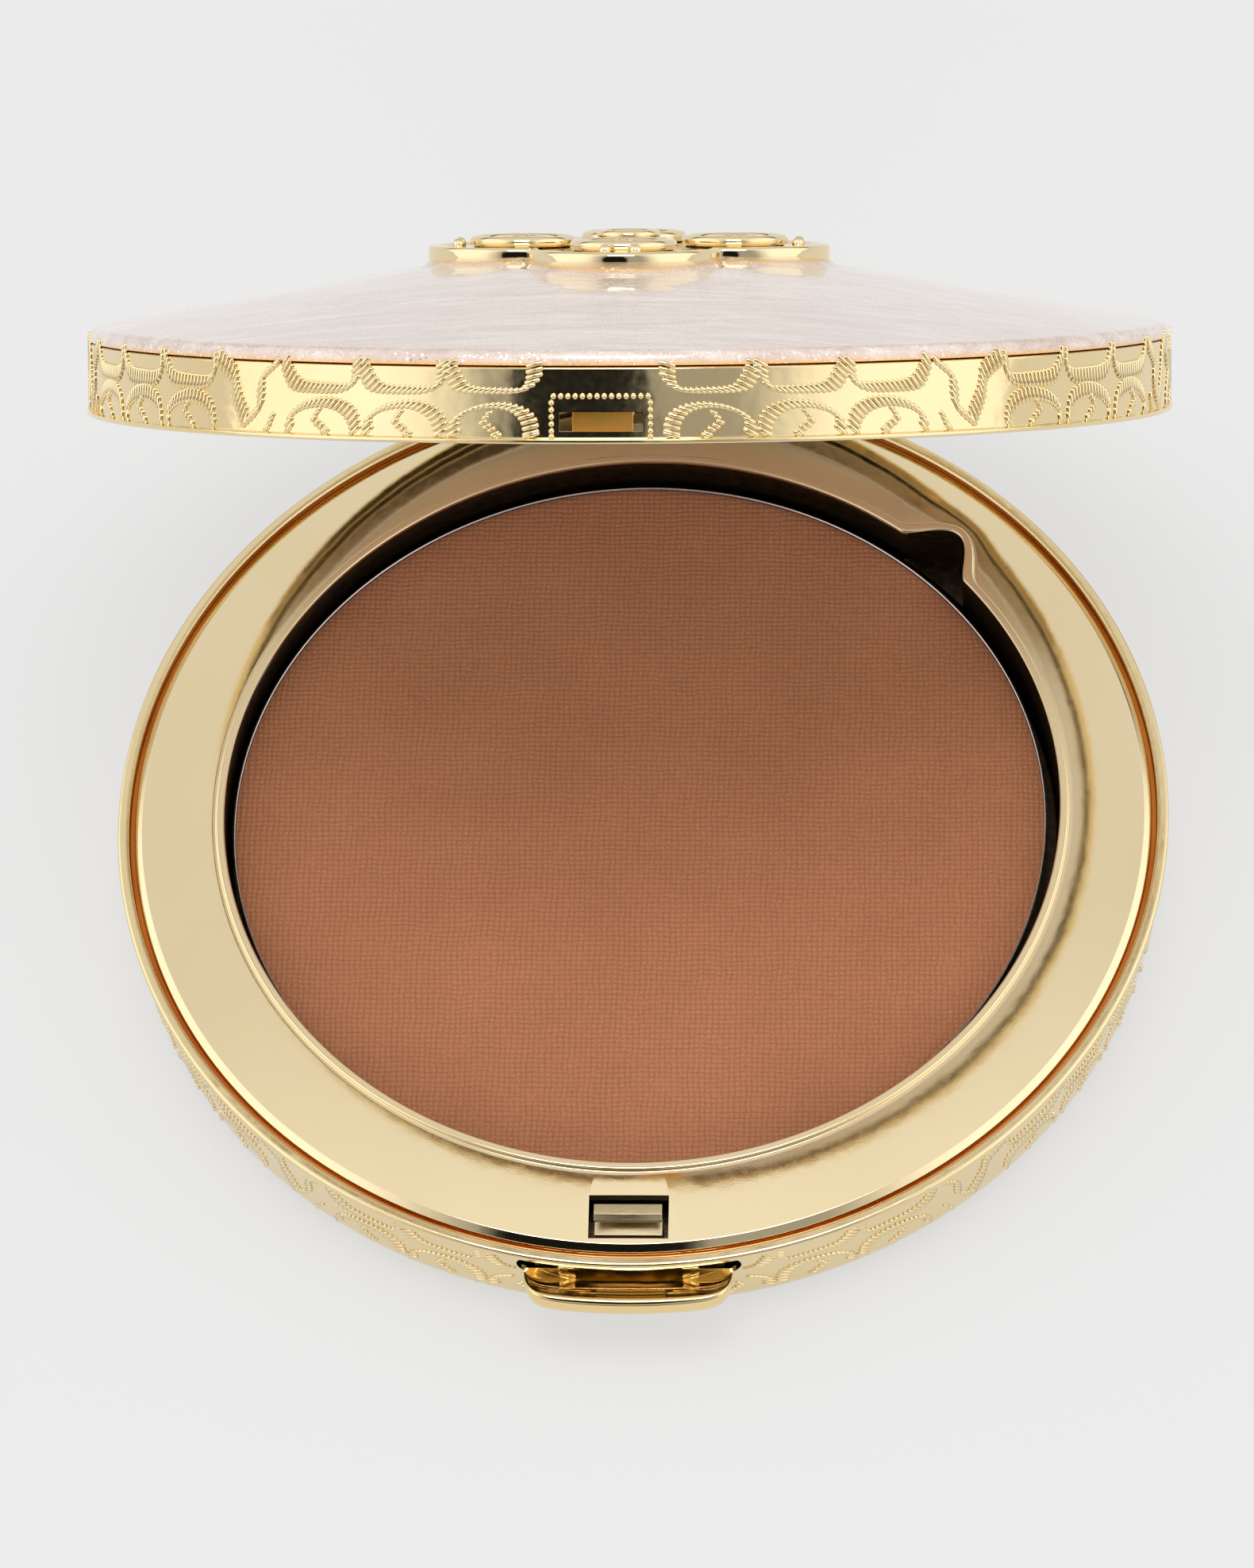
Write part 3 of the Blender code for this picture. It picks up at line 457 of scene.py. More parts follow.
def pressed_powder():
    """Bronze pressed powder with the print of a fine woven cloth, its hollows darkened with painted shade, grains and a
    little loose dust.
    """
    graph = Graph("pressed_powder")
    shader = graph.shader
    coords = graph.coords()
    bend = graph.node("ShaderNodeVectorMath", operation="MULTIPLY_ADD")
    warp = graph.node("ShaderNodeTexNoise")
    warp.inputs["Scale"].default_value = 0.35
    warp.inputs["Detail"].default_value = 2.0
    graph.link(coords, warp.inputs["Vector"])
    graph.link(warp.outputs["Color"], bend.inputs[0])
    bend.inputs[1].default_value = (0.55, 0.55, 0.0)
    graph.link(coords, bend.inputs[2])
    split = graph.node("ShaderNodeSeparateXYZ")
    graph.link(bend.outputs["Vector"], split.inputs["Vector"])
    pitch = math.pi / 0.43
    along = graph.math("ABSOLUTE", graph.math("SINE", graph.math("MULTIPLY", split.outputs["X"], pitch)))
    across = graph.math("ABSOLUTE", graph.math("SINE", graph.math("MULTIPLY", split.outputs["Y"], pitch)))
    weave = graph.math("POWER", graph.math("MULTIPLY", along, across), 0.6)
    grain = graph.noise(coords, 7.0, 4.0, 0.7)
    broad = graph.noise(coords, 0.12, 2.0)
    worn = graph.ramp(graph.noise(coords, 0.9, 3.0), (0.42, 0.0), (0.75, 0.36))
    weave = graph.math("MAXIMUM", weave, worn)
    tone = graph.ramp(broad, (0.3, (0.375, 0.14, 0.056)), (0.7, (0.44, 0.168, 0.071)))
    speckle = graph.ramp(grain, (0.3, (0.28, 0.1, 0.044)), (0.52, (0.415, 0.156, 0.069)),
                         (0.72, (0.6, 0.27, 0.135)))
    mixed = graph.mix(0.42, tone, speckle)
    # Painted shade: the colour is darkened in the weave's hollows.
    shadow = graph.ramp(weave, (0.1, (0.6, 0.57, 0.54)), (0.62, (1.0, 1.0, 1.0)))
    graph.link(graph.mix(0.6, mixed, shadow, "MULTIPLY"), shader.inputs["Base Color"])
    shader.inputs["Roughness"].default_value = 0.78
    shader.inputs["Specular IOR Level"].default_value = 0.35
    shader.inputs["Sheen Weight"].default_value = 0.12
    woven = graph.bump(weave, 0.8, 0.00009)
    graph.link(graph.bump(grain, 0.6, 0.00005, woven), shader.inputs["Normal"])
    return graph.material


def silvered_glass():
    """Mirror under its clouded protective film: silver, part veiled by a pale haze."""
    graph = Graph("silvered_glass")
    graph.shader.inputs["Metallic"].default_value = 0.62
    graph.shader.inputs["Base Color"].default_value = (0.97, 0.96, 0.94, 1.0)
    haze = graph.noise(graph.coords(), 0.5, 3.0)
    graph.link(graph.ramp(haze, (0.4, 0.22), (0.9, 0.3)), graph.shader.inputs["Roughness"])
    graph.shader.inputs["Coat Weight"].default_value = 0.6
    graph.shader.inputs["Coat Roughness"].default_value = 0.03
    return graph.material


def well_shadow():
    """Painted shade: dark satin put inside the well, the notch and the latch slot, where the gold plating only lies in
    deep shade.
    """
    graph = Graph("well_painted_shade")
    coords = graph.coords((1.0, 1.0, 6.0))
    grain = graph.noise(coords, 1.2, 3.0)
    graph.link(graph.ramp(grain, (0.35, (0.012, 0.007, 0.004)), (0.75, (0.06, 0.032, 0.012))),
               graph.shader.inputs["Base Color"])
    graph.shader.inputs["Metallic"].default_value = 0.7
    graph.link(graph.ramp(grain, (0.3, 0.28), (0.8, 0.4)), graph.shader.inputs["Roughness"])
    graph.link(graph.bump(grain, 0.1, 0.00005), graph.shader.inputs["Normal"])
    return graph.material


gold_relief = gold("plated_gold_relief", (0.88, 0.72, 0.425), (0.85, 0.68, 0.375), 0.13, 0.04, 0.0005)
gold_lace = gold("plated_gold_lace", (0.9, 0.735, 0.43), (0.88, 0.71, 0.4), 0.12, 0.03, 0.0)
gold_bright = gold("plated_gold_polished", (0.89, 0.735, 0.465), (0.87, 0.71, 0.435), 0.07, 0.025, 0.00008)
gold_emblem = gold("plated_gold_emblem", (0.88, 0.725, 0.45), (0.86, 0.695, 0.41), 0.06, 0.03, 0.0003)
# Painted shade: darker amber gold down in the groove round the tray's edge, where the plating lies in shade.
groove_painted_shade = gold("plated_gold_groove_shade", (0.6, 0.2, 0.035), (0.42, 0.1, 0.015), 0.35, 0.06, 0.0002)
# Painted light: an amber tint on rough gold that stands in for light bounced between gold walls, for the catch plate
# seen through the window.
gold_painted_bounce = gold("plated_gold_amber", (0.95, 0.56, 0.14), (0.9, 0.46, 0.08), 0.4, 0.05, 0.0002)
gold_tab = gold("plated_gold_tab", (0.9, 0.7, 0.36), (0.87, 0.65, 0.3), 0.07, 0.03, 0.0002)
bronze = metal("worn_bronze_gold", (0.6, 0.49, 0.3), 0.3)
enamel = pearl_enamel()
powder = pressed_powder()
tin = metal("tinned_pan", (0.86, 0.83, 0.82), 0.2, (3.0, 3.0, 3.0))
silvered = silvered_glass()
# The dark satin below is painted shade: the well's walls are gold plating in deep shade.
well_painted_shade = well_shadow()
steel = metal("plain_steel", (0.62, 0.62, 0.63), 0.28)
dark_magnet = metal("sintered_magnet", (0.14, 0.14, 0.15), 0.5, (4.0, 4.0, 4.0))
guide_black = plain("guide_plastic", (0.04, 0.036, 0.033), 0.5)
foam = plain("foam_pad", (0.8, 0.78, 0.72), 0.9, 0.2)


# Base -----------------------------------------------------------------------------------

def hinge_cut(name):
    return cylinder_x(name, hinge_point, knuckle_radius + touch_gap, hinge_length + 2.0 * touch_gap)


def leaf_cut(name, width, low, high):
    half = width / 2.0 + touch_gap
    return block(name, (-half, inner_radius - 1.5 * MM, low), (half, hinge_point.y, high))


def base_side(depth):
    """(radius, z) on the base's decorated side, depth metres below the rim bead, along the curve."""
    top = base_height - rim_bead - 0.1 * MM
    corner = 2.6 * MM
    straight = top - corner
    side_radius = ground_radius - side_taper
    if depth <= straight:
        part = depth / straight
        return ground_radius - side_taper * part, top - depth
    turn = (depth - straight) / corner
    return (foot_radius + (side_radius - foot_radius) * math.cos(turn), corner - corner * math.sin(turn))


def make_base_shell():
    """Decorated lower case."""
    floor_z = 1.7 * MM
    recess_radius = 34.0 * MM
    recess_z = 0.8 * MM
    profile = rounded([
        (0.0, floor_z, 0.0),
        (inner_radius - 1.6 * MM, floor_z, 0.3 * MM),
        (inner_radius, floor_z + 1.8 * MM, 0.3 * MM),
        (inner_radius, base_height, 0.28 * MM),
        (case_radius, base_height, 0.3 * MM),
        (case_radius, base_height - rim_bead, 0.12 * MM),
        (ground_radius, base_height - rim_bead - 0.1 * MM, 0.0),
    ])
    straight = base_height - rim_bead - 0.1 * MM - foot_corner
    profile += [base_side(straight * part / 6.0) for part in range(1, 7)]
    profile += [base_side(straight + foot_corner * math.pi / 2.0 * part / 10.0) for part in range(1, 11)]
    profile += rounded([
        (foot_radius - 0.3 * MM, 0.0, 0.0),
        (recess_radius, 0.0, 0.12 * MM),
        (recess_radius, recess_z, 0.0),
        (0.0, recess_z, 0.0),
    ])
    shell = lathe("base_case", profile)
    middle_z = (tab_low.z + tab_high.z) / 2.0
    half_height = (tab_high.z - tab_low.z) / 2.0 + 0.3 * MM
    flat = (tab_high.x - tab_low.x) / 2.0 + 0.6 * MM - half_height
    outline = []
    for side in (1.0, -1.0):
        for index in range(17):
            angle = -math.pi / 2.0 + math.pi * index / 16.0
            outline.append((side * (flat + half_height * math.cos(angle)),
                            side * half_height * math.sin(angle)))
    opening = extruded("tab_opening", outline, -3.0 * MM, 3.0 * MM)
    opening.data.transform(Matrix.Translation((0.0, -case_radius, middle_z))
                           @ Matrix.Rotation(math.pi / 2.0, 4, "X"))
    combine(shell, opening)
    combine(shell, hinge_cut("base_hinge_cut"))
    combine(shell, leaf_cut("base_leaf_cut", base_knuckle,
                            hinge_point.z - leaf_drop - touch_gap, hinge_point.z))
    shade(shell)
    place(shell, gold_relief, "base", "gold_relief", "base_shell")
    return shell


def notch_bulge(radius, height, angle):
    """How far the lip and the well wall swing outwards at the fingernail notch."""
    across = (radius - well_radius) / lip_width
    floor_z = ring_z - notch_depth - (0.65 * MM if across > 1.0 else 0.0)
    if not (-0.1 < across < 1.7 and height > floor_z):
        return 0.0
    half = notch_half + 0.8 * min(across, 1.0) * MM
    along = (angle - notch_angle) * (well_radius + lip_width)
    if abs(along) >= half:
        return 0.0
    return notch_reach * math.cos(math.pi / 2.0 * along / half) ** 1.6


def tray_angles():
    """Steps round the tray, closer together at the notch."""
    close = math.radians(8.0)
    steps = [2.0 * math.pi * step / fine_steps for step in range(fine_steps)]
    far = [angle for angle in steps if abs(angle - notch_angle) > close]
    return sorted(far + [notch_angle + close * (part / 40.0 - 1.0) for part in range(81)])


def tray_finish(start, end, upper):
    """Material of one strip of the tray: 0 polished, 1 painted shade (dark satin) inside the well, 2 amber painted
    shade down in the groove.
    """
    shaded_below = tray_high.z - 0.3 * MM
    inside = all(radius < well_radius + 0.01 * MM and height < shaded_below + 0.2 * MM
                 for radius, height in (start, end))
    if inside and upper and min(start[1], end[1]) < shaded_below:
        return 1
    groove_z = ring_z - ring_fall - 0.55 * MM
    if all(radius > tray_radius - 0.01 * MM and height < groove_z for radius, height in (start, end)):
        return 2
    return 0


def tray_surface(profile):
    """Turn the tray's profile, with the notch bulge, into a closed mesh."""
    angles = tray_angles()
    count = len(angles)
    slope = ring_fall / (tray_radius - well_radius - 2.0 * lip_width)
    verts = []
    for radius, height in profile[1:-1]:
        for angle in angles:
            bulge = notch_bulge(radius, height, angle)
            on_ring = radius > well_radius + 0.9 * lip_width and abs(height - ring_z) < 0.05 * MM
            drop = bulge * slope if on_ring else 0.0
            reach = radius + bulge
            verts.append((reach * math.cos(angle), reach * math.sin(angle), height - drop))
    verts += [(0.0, 0.0, profile[0][1]), (0.0, 0.0, profile[-1][1])]
    faces = []
    finishes = []
    rows = len(profile) - 2
    for step in range(count):
        after = (step + 1) % count
        faces.append((len(verts) - 2, step, after))
        finishes.append(1)
        for row in range(rows - 1):
            low = row * count
            faces.append((low + step, low + count + step, low + count + after, low + after))
            finishes.append(tray_finish(profile[1 + row], profile[2 + row], row < rows // 2))
        low = (rows - 1) * count
        faces.append((low + step, len(verts) - 1, low + after))
        finishes.append(0)
    mesh = bpy.data.meshes.new("case_tray")
    mesh.from_pydata(verts, [], faces)
    tray = add_object("case_tray", mesh)
    bm = bmesh.new()
    bm.from_mesh(mesh)
    for face, index in zip(bm.faces, finishes):
        face.material_index = index
    bmesh.ops.recalc_face_normals(bm, faces=bm.faces)
    bm.to_mesh(mesh)
    bm.free()
    return tray


def make_tray():
    """Polished tray with its lip, notch and slot, most of its turned edges softly rounded."""
    lip_radius = well_radius + lip_width
    lip_z = tray_high.z
    plate = 0.7 * MM
    tray_wall = 0.6 * MM
    edge_z = ring_z - ring_fall
    skirt_z = ring_z - 1.6 * MM
    notch_floor = ring_z - notch_depth
    profile = rounded([
        (0.0, well_floor_z, 0.0),
        (well_radius, well_floor_z, 0.3 * MM),
        (well_radius, notch_floor - 0.05 * MM, 0.0),
        (well_radius - 0.001 * MM, notch_floor + 0.01 * MM, 0.0),
        (well_radius, lip_z - 0.3 * MM, 0.0),
        (well_radius, lip_z, 0.26 * MM),
        (lip_radius, lip_z, 0.3 * MM),
        (lip_radius, ring_z, 0.1 * MM),
        (lip_radius + 0.35 * MM, ring_z, 0.0),
        (tray_radius - 0.6 * MM, edge_z, 0.15 * MM),
        (tray_radius - 0.1 * MM, edge_z - 0.38 * MM, 0.12 * MM),
        (tray_radius, edge_z - 0.62 * MM, 0.0),
        (tray_radius, skirt_z + 0.12 * MM, 0.0),
        (inner_radius - 0.03 * MM, skirt_z + 0.1 * MM, 0.0),
        (inner_radius - 0.03 * MM, skirt_z, 0.0),
        (tray_radius - tray_wall, skirt_z, 0.0),
        (tray_radius - tray_wall, edge_z - plate, 0.0),
        (lip_radius + 0.1 * MM, ring_z - plate, 0.0),
        (lip_radius + 0.1 * MM, notch_floor - tray_wall, 0.0),
        (lip_radius, well_floor_z - tray_wall, 0.2 * MM),
        (0.0, well_floor_z - tray_wall, 0.0),
    ], 6)
    tray = tray_surface(profile)
    # Slots: polished gold, the dark satin of painted shade in the well, notch and slot, and the groove's amber painted
    # shade.
    for material in (gold_bright, well_painted_shade, groove_painted_shade):
        tray.data.materials.append(material)
    half = slot_width / 2.0
    slot = block("slot_cut", (-half, slot_front_y, ring_z - 3.0 * MM),
                 (half, slot_front_y + slot_length, ring_z + 3.0 * MM))
    for material in (gold_bright, well_painted_shade, groove_painted_shade):
        slot.data.materials.append(material)
    # The slot's cut faces get the painted shade.
    for face in slot.data.polygons:
        face.material_index = 1
    combine(tray, slot)
    shade(tray, 28.0)
    finish = [face.material_index for face in tray.data.polygons]
    place(tray, gold_bright, "base", "gold_polished", "inner_tray")
    tray.data.materials.append(well_painted_shade)
    tray.data.materials.append(groove_painted_shade)
    for face, index in zip(tray.data.polygons, finish):
        face.material_index = index


def make_pan_and_powder():
    """Thin-rimmed pan and its cake, with a softly uneven pressed surface."""
    top = pan_high.z
    low = pan_low.z
    rim = 0.22 * MM
    pan = lathe("refill_pan", rounded([
        (0.0, low + 0.4 * MM, 0.0),
        (pan_radius - rim, low + 0.4 * MM, 0.1 * MM),
        (pan_radius - rim, top, 0.1 * MM),
        (pan_radius, top, 0.1 * MM),
        (pan_radius, low, 0.3 * MM),
        (0.0, low, 0.0),
    ], 3))
    pan.data.transform(Matrix.Translation((pan_centre.x, pan_centre.y, 0.0)))
    shade(pan)
    place(pan, tin, "base", "pan_metal", "powder_pan")

    radius = pan_radius - rim - 0.02 * MM
    surface = top - 0.12 * MM
    rings = 60
    profile = [(radius * ring / rings * 0.985, surface) for ring in range(rings + 1)]
    profile += [(radius * 0.995, surface - 0.03 * MM), (radius, surface - 0.1 * MM), (radius, low + 0.6 * MM)]
    profile += [(0.0, low + 0.6 * MM)]
    cake = lathe("pressed_powder", profile)
    chance = random.Random(7)
    waves = [(chance.uniform(60.0, 260.0), chance.uniform(0.0, math.tau), chance.uniform(0.0, math.tau))
             for _ in range(9)]
    for vert in cake.data.vertices:
        if vert.co.z > surface - 0.05 * MM:
            lift = sum(math.sin(rate * (vert.co.x * math.cos(lean) + vert.co.y * math.sin(lean)) + phase)
                       for rate, lean, phase in waves)
            vert.co.z += lift * 0.006 * MM
    cake.data.transform(Matrix.Translation((pan_centre.x, pan_centre.y, 0.0)))
    shade(cake)
    place(cake, powder, "base", "bronze_powder", "powder_cake")


# Lid ------------------------------------------------------------------------------------

def dome_rise(radius):
    edge = case_radius - shoulder
    return shoulder * 0.9 + (dome_height - shoulder * 0.9) * (edge - radius) / (edge - emblem_seat)


def make_lid_shell():
    cone_z = dome_top_z - enamel_thickness - touch_gap
    edge_z = band_top_z + dome_rise(case_radius - shoulder) - enamel_thickness - touch_gap
    ledge_z = min(band_top_z - 0.15 * MM, edge_z)
    shell = lathe("lid_case", rounded([
        (0.0, cone_z, 0.0),
        (emblem_seat, cone_z, 0.0),
        (inner_radius - 0.5 * MM, edge_z, 0.0),
        (ground_radius, ledge_z, 0.15 * MM),
        (ground_radius, lid_rim_z + rim_bead * 0.75, 0.05 * MM),
        (case_radius - 0.02 * MM, lid_rim_z + rim_bead * 0.6, 0.1 * MM),
        (case_radius - 0.02 * MM, lid_rim_z, 0.2 * MM),
        (inner_radius, lid_rim_z, 0.15 * MM),
        (inner_radius, edge_z - wall, 0.0),
        (emblem_seat, cone_z - wall, 0.0),
        (0.0, cone_z - wall, 0.0),
    ]))
    half = 2.9 * MM
    low = base_height + 1.15 * MM
    window = block("window_cut", (-half, -case_radius - 1.0 * MM, low),
                   (half, -inner_radius + 1.0 * MM, low + 1.35 * MM))
    combine(shell, window)
    combine(shell, hinge_cut("lid_hinge_cut"))
    combine(shell, leaf_cut("lid_leaf_cut", hinge_length,
                            hinge_point.z, hinge_point.z + leaf_drop + touch_gap))
    open_lid(shell)
    shade(shell)
    place(shell, gold_relief, "lid", "gold_relief", "lid_shell")


def lobed_radius(angle):
    """Reach of the lobed plaque's edge in one direction, with its inward corners softened."""
    centre = emblem_reach - lobe_radius
    total = 0.0
    for lobe in range(lobe_count):
        lean = angle - 2.0 * math.pi * lobe / lobe_count
        inside = lobe_radius ** 2 - (centre * math.sin(lean)) ** 2
        if inside > 0.0 and math.cos(lean) > 0.0:
            total += ((centre * math.cos(lean) + math.sqrt(inside)) / emblem_reach) ** 70.0
    return emblem_reach * total ** (1.0 / 70.0)


def make_enamel():
    """Domed enamel with a rolled edge and a meniscus that climbs the emblem's foot."""
    edge = case_radius - shoulder
    profile = [(0.0, dome_top_z)]
    rings = [8.0 * MM + 0.15 * MM * part for part in range(60)]
    rings += [17.0 * MM + (edge - 17.0 * MM) * part / 34.0 for part in range(35)]
    for radius in rings:
        height = dome_top_z if radius < emblem_seat else band_top_z + dome_rise(radius)
        profile.append((radius, height))
    roll_height = dome_rise(edge)
    foot = band_top_z - 0.27 * MM
    for step in range(1, 13):
        turn = math.pi / 2.0 * step / 12.0
        rise = math.cos(turn) ** 0.8 if step < 12 else 0.0
        profile.append((edge + (ground_radius + 0.05 * MM - edge) * math.sin(turn),
                        foot + (band_top_z + roll_height - foot) * rise))
    under = foot - 0.03 * MM
    profile += [(ground_radius - 0.1 * MM, under), (inner_radius - 0.5 * MM, under),
                (emblem_seat, dome_top_z - enamel_thickness), (0.0, dome_top_z - enamel_thickness)]
    plate = lathe("enamel_dome", profile)
    raise_meniscus(plate)
    open_lid(plate)
    shade(plate, 50.0)
    place(plate, enamel, "lid", "pearl_enamel", "lid_enamel")


def raise_meniscus(plate):
    """Lift the enamel at the emblem's foot, and store where it thins: there and at its rolled edge."""
    layer = plate.data.attributes.new("thin", "FLOAT", "POINT")
    foot = band_top_z - 0.27 * MM
    climb = 0.36 * MM
    for vert, item in zip(plate.data.vertices, layer.data):
        radius = math.hypot(vert.co.x, vert.co.y)
        thin = 0.0
        if radius > 0.9 * case_radius:
            thin = max(0.0, 1.0 - (vert.co.z - foot) / (0.4 * MM))
        elif 7.9 * MM < radius < 17.0 * MM and vert.co.z > dome_top_z - 0.7 * MM:
            outside = radius - lobed_radius(math.atan2(vert.co.y, vert.co.x))
            if outside > -0.5 * MM:
                reach = max(0.0, 1.0 - max(outside, 0.0) / (0.85 * MM))
                vert.co.z += climb * reach ** 2.2
                thin = max(0.0, 1.0 - max(outside, 0.0) / (0.35 * MM))
        item.value = min(thin, 1.0) ** 1.3


def make_mirror_parts():
    opening = 36.9 * MM
    mirror_radius = 37.5 * MM
    glass_thickness = 1.1 * MM
    outer = inner_radius - 0.4 * MM
    low = base_height + 2.75 * MM
    high = low + 0.8 * MM
    rebate = mirror_radius + touch_gap
    liner = lathe("lid_liner", rounded([
        (rebate, high + 0.55 * MM, 0.1 * MM),
        (rebate + 0.6 * MM, high + 0.55 * MM, 0.2 * MM),
        (outer, high, 0.2 * MM),
        (outer, low, 0.25 * MM),
        (opening, low, 0.5 * MM),
        (opening, high, 0.0),
        (rebate, high, 0.0),
    ], 6), closed=True)
    half = hinge_length / 2.0 + touch_gap
    combine(liner, block("liner_cut", (-half, inner_radius - 0.9 * MM, low - 1.0 * MM),
                         (half, case_radius, high + 2.0 * MM)))
    open_lid(liner)
    shade(liner)
    place(liner, tin, "lid", "pan_metal", "mirror_frame")
    glass_low = high + 0.1 * MM
    glass = lathe("mirror_disc", rounded([
        (0.0, glass_low + glass_thickness, 0.0),
        (mirror_radius, glass_low + glass_thickness, 0.05 * MM),
        (mirror_radius, glass_low + 0.25 * MM, 0.0),
        (mirror_radius - 0.4 * MM, glass_low, 0.0),
        (0.0, glass_low, 0.0),
    ], 3))
    open_lid(glass)
    shade(glass, 10.0)
    place(glass, silvered, "lid", "mirror_glass", "mirror")


make_base_shell()
make_tray()
make_pan_and_powder()
make_lid_shell()
make_enamel()
make_mirror_parts()


# Lace relief ----------------------------------------------------------------------------
#
# The lace is drawn once, in millimetres, on the unrolled side: s runs away from the front centre
# along the case's girth and v runs down from the top edge. It is mirrored left and right.

stitch_width = 0.33
stitch_gap = 0.40
band_depth = 5.7
garland_pitch = 6.6
garland_start = 4.6
garland_end = 7.0
half_girth = math.pi * case_radius / MM


def smooth_path(points, step):
    """Points at even steps along a Catmull-Rom curve through (s, v) points, with their directions."""
    ends = [Vector(points[0]) * 2.0 - Vector(points[1])]
    tail = [Vector(points[-1]) * 2.0 - Vector(points[-2])]
    knots = ends + [Vector(point) for point in points] + tail
    dense = []
    for a, b, c, d in zip(knots, knots[1:], knots[2:], knots[3:]):
        for part in range(24):
            t = part / 24.0
            dense.append(0.5 * (2.0 * b + (c - a) * t + (2.0 * a - 5.0 * b + 4.0 * c - d) * t * t
                                + (3.0 * b - a - 3.0 * c + d) * t ** 3))
    dense.append(knots[-2])
    length = sum((after - before).length for before, after in zip(dense, dense[1:]))
    count = max(1, round(length / step))
    out = []
    target = 0.0
    run = 0.0
    for before, after in zip(dense, dense[1:]):
        piece = (after - before).length
        while len(out) <= count and target <= run + piece + 1e-9 and piece > 0.0:
            out.append((before.lerp(after, (target - run) / piece), (after - before).normalized()))
            target = length * len(out) / count
        run += piece
    return out


def tilt_at(s):
    """Lean of the stitches below the horizontal, away from the front centre."""
    return math.radians(min(82.0, 6.0 + 1.85 * s))


def stitched(points, length, tilt=None, width=stitch_width, gap=stitch_gap):
    """Satin stitches along a path. All lean alike, and they shorten where the path runs with the lean."""
    made = []
    for place_at, along in smooth_path(points, gap):
        lean = tilt_at(place_at.x) if tilt is None else math.radians(tilt)
        across = abs(along.x * math.sin(lean) - along.y * math.cos(lean))
        made.append((place_at.x, place_at.y, lean, width + (length - width) * (0.3 + 0.7 * across), width))
    return made


def beads(points, size=0.36, gap=0.42):
    """A row of round beads along a path."""
    return [(place_at.x, place_at.y, 0.0, size, size) for place_at, _ in smooth_path(points, gap)]


def scallop(start, end, depth, length=1.15):
    """Garland that hangs from the top edge."""
    width = end - start
    return stitched([(start, 0.1), (start + 0.02 * width, depth * 0.6), (start + 0.16 * width, depth * 0.96),
                     (start + 0.5 * width, depth), (start + 0.86 * width, depth * 0.9),
                     (start + width, depth * 0.35), (start + width * 1.02, 0.1)], length)


def arch(start, end, top, length=1.1):
    """Arch that stands on the lower edge, with a curl of beads inside."""
    width = end - start
    low = band_depth - 0.45
    made = stitched([(start, low), (start + 0.02 * width, (top + low) * 0.5),
                     (start + 0.15 * width, top + 0.35), (start + 0.42 * width, top), (start + 0.75 * width, top + 0.3),
                     (start + 0.97 * width, (top + low) * 0.5), (start + 0.98 * width, low)], length)
    made += stitched([(start + 0.52 * width, top + 0.55), (start + 0.6 * width, top + 1.2),
                      (start + 0.48 * width, top + 1.75), (start + 0.42 * width, low + 0.05)], 0.6)
    return made


def leaf(start, end):
    """Branch of two long leaves and a stem."""
    width = end - start
    made = stitched([(start, 0.3), (start + 0.25 * width, 1.5), (start + 0.3 * width, 3.4),
                     (start + 0.55 * width, 4.6)], 1.3)
    made += stitched([(start + width, 0.2), (start + 0.75 * width, 1.2), (start + 0.7 * width, 2.6),
                      (start + 0.55 * width, 4.4)], 1.3)
    made += stitched([(start + 0.1 * width, 4.1), (start + 0.2 * width, 5.2)], 1.0)
    return made


def window_frame():
    """Plain row of beads over the latch window and down its sides."""
    return beads([(0.25, 2.3), (3.3, 2.3)], 0.42, 0.5) + beads([(3.45, 2.75), (3.45, 5.2)], 0.42, 0.5)


def half_lace():
    """Every stitch of one half: the window's beads, then even garlands with a leaf every fourth."""
    made = window_frame()
    for number in range(int((half_girth - garland_end - garland_start) // garland_pitch)):
        start = garland_start + number * garland_pitch
        if number % 4 == 3:
            made += leaf(start + 0.3, start + 6.1)
            continue
        made += scallop(start, start + 6.0, 1.95)
        made += arch(start + 0.3, start + 6.0, 2.95)
    return made


def stitch_mesh(name, stitches, surface):
    """Half-sunk rounded stitches; surface(u, v) gives a place, the u and v directions and out."""
    sides = 8
    rings = (-1.0, -0.75, -0.3, 0.3, 0.75, 1.0)
    verts = []
    faces = []
    for u, v, lean, length, width in stitches:
        origin, along_u, along_v, out = surface(u, v)
        axis = along_u * math.cos(lean) + along_v * math.sin(lean)
        side = out.cross(axis)
        radius = width / 2.0 * MM
        reach = max(length / 2.0 * MM - radius, 0.0)
        first = len(verts)
        for ring in rings:
            swell = math.sqrt(max(1.0 - ring * ring, 0.0)) if abs(ring) > 0.3 else 1.0
            slide = math.copysign(reach, ring) + ring * radius
            if abs(ring) == 1.0:
                verts.append(origin + axis * slide)
                continue
            for step in range(sides):
                angle = 2.0 * math.pi * step / sides
                verts.append(origin + axis * slide + (side * math.cos(angle) + out * math.sin(angle) * 0.95)
                             * radius * swell)
        last = len(verts) - 1
        for step in range(sides):
            after = (step + 1) % sides
            faces.append((first, first + 1 + after, first + 1 + step))
            for row in range(len(rings) - 3):
                low = first + 1 + row * sides
                faces.append((low + step, low + after, low + sides + after, low + sides + step))
            top = last - sides
            faces.append((top + step, top + after, last))
    mesh = bpy.data.meshes.new(name)
    mesh.from_pydata([tuple(vert) for vert in verts], [], faces)
    mesh.validate()
    obj = add_object(name, mesh)
    bm = bmesh.new()
    bm.from_mesh(mesh)
    bmesh.ops.recalc_face_normals(bm, faces=bm.faces)
    bm.to_mesh(mesh)
    bm.free()
    mesh.shade_smooth()
    return obj


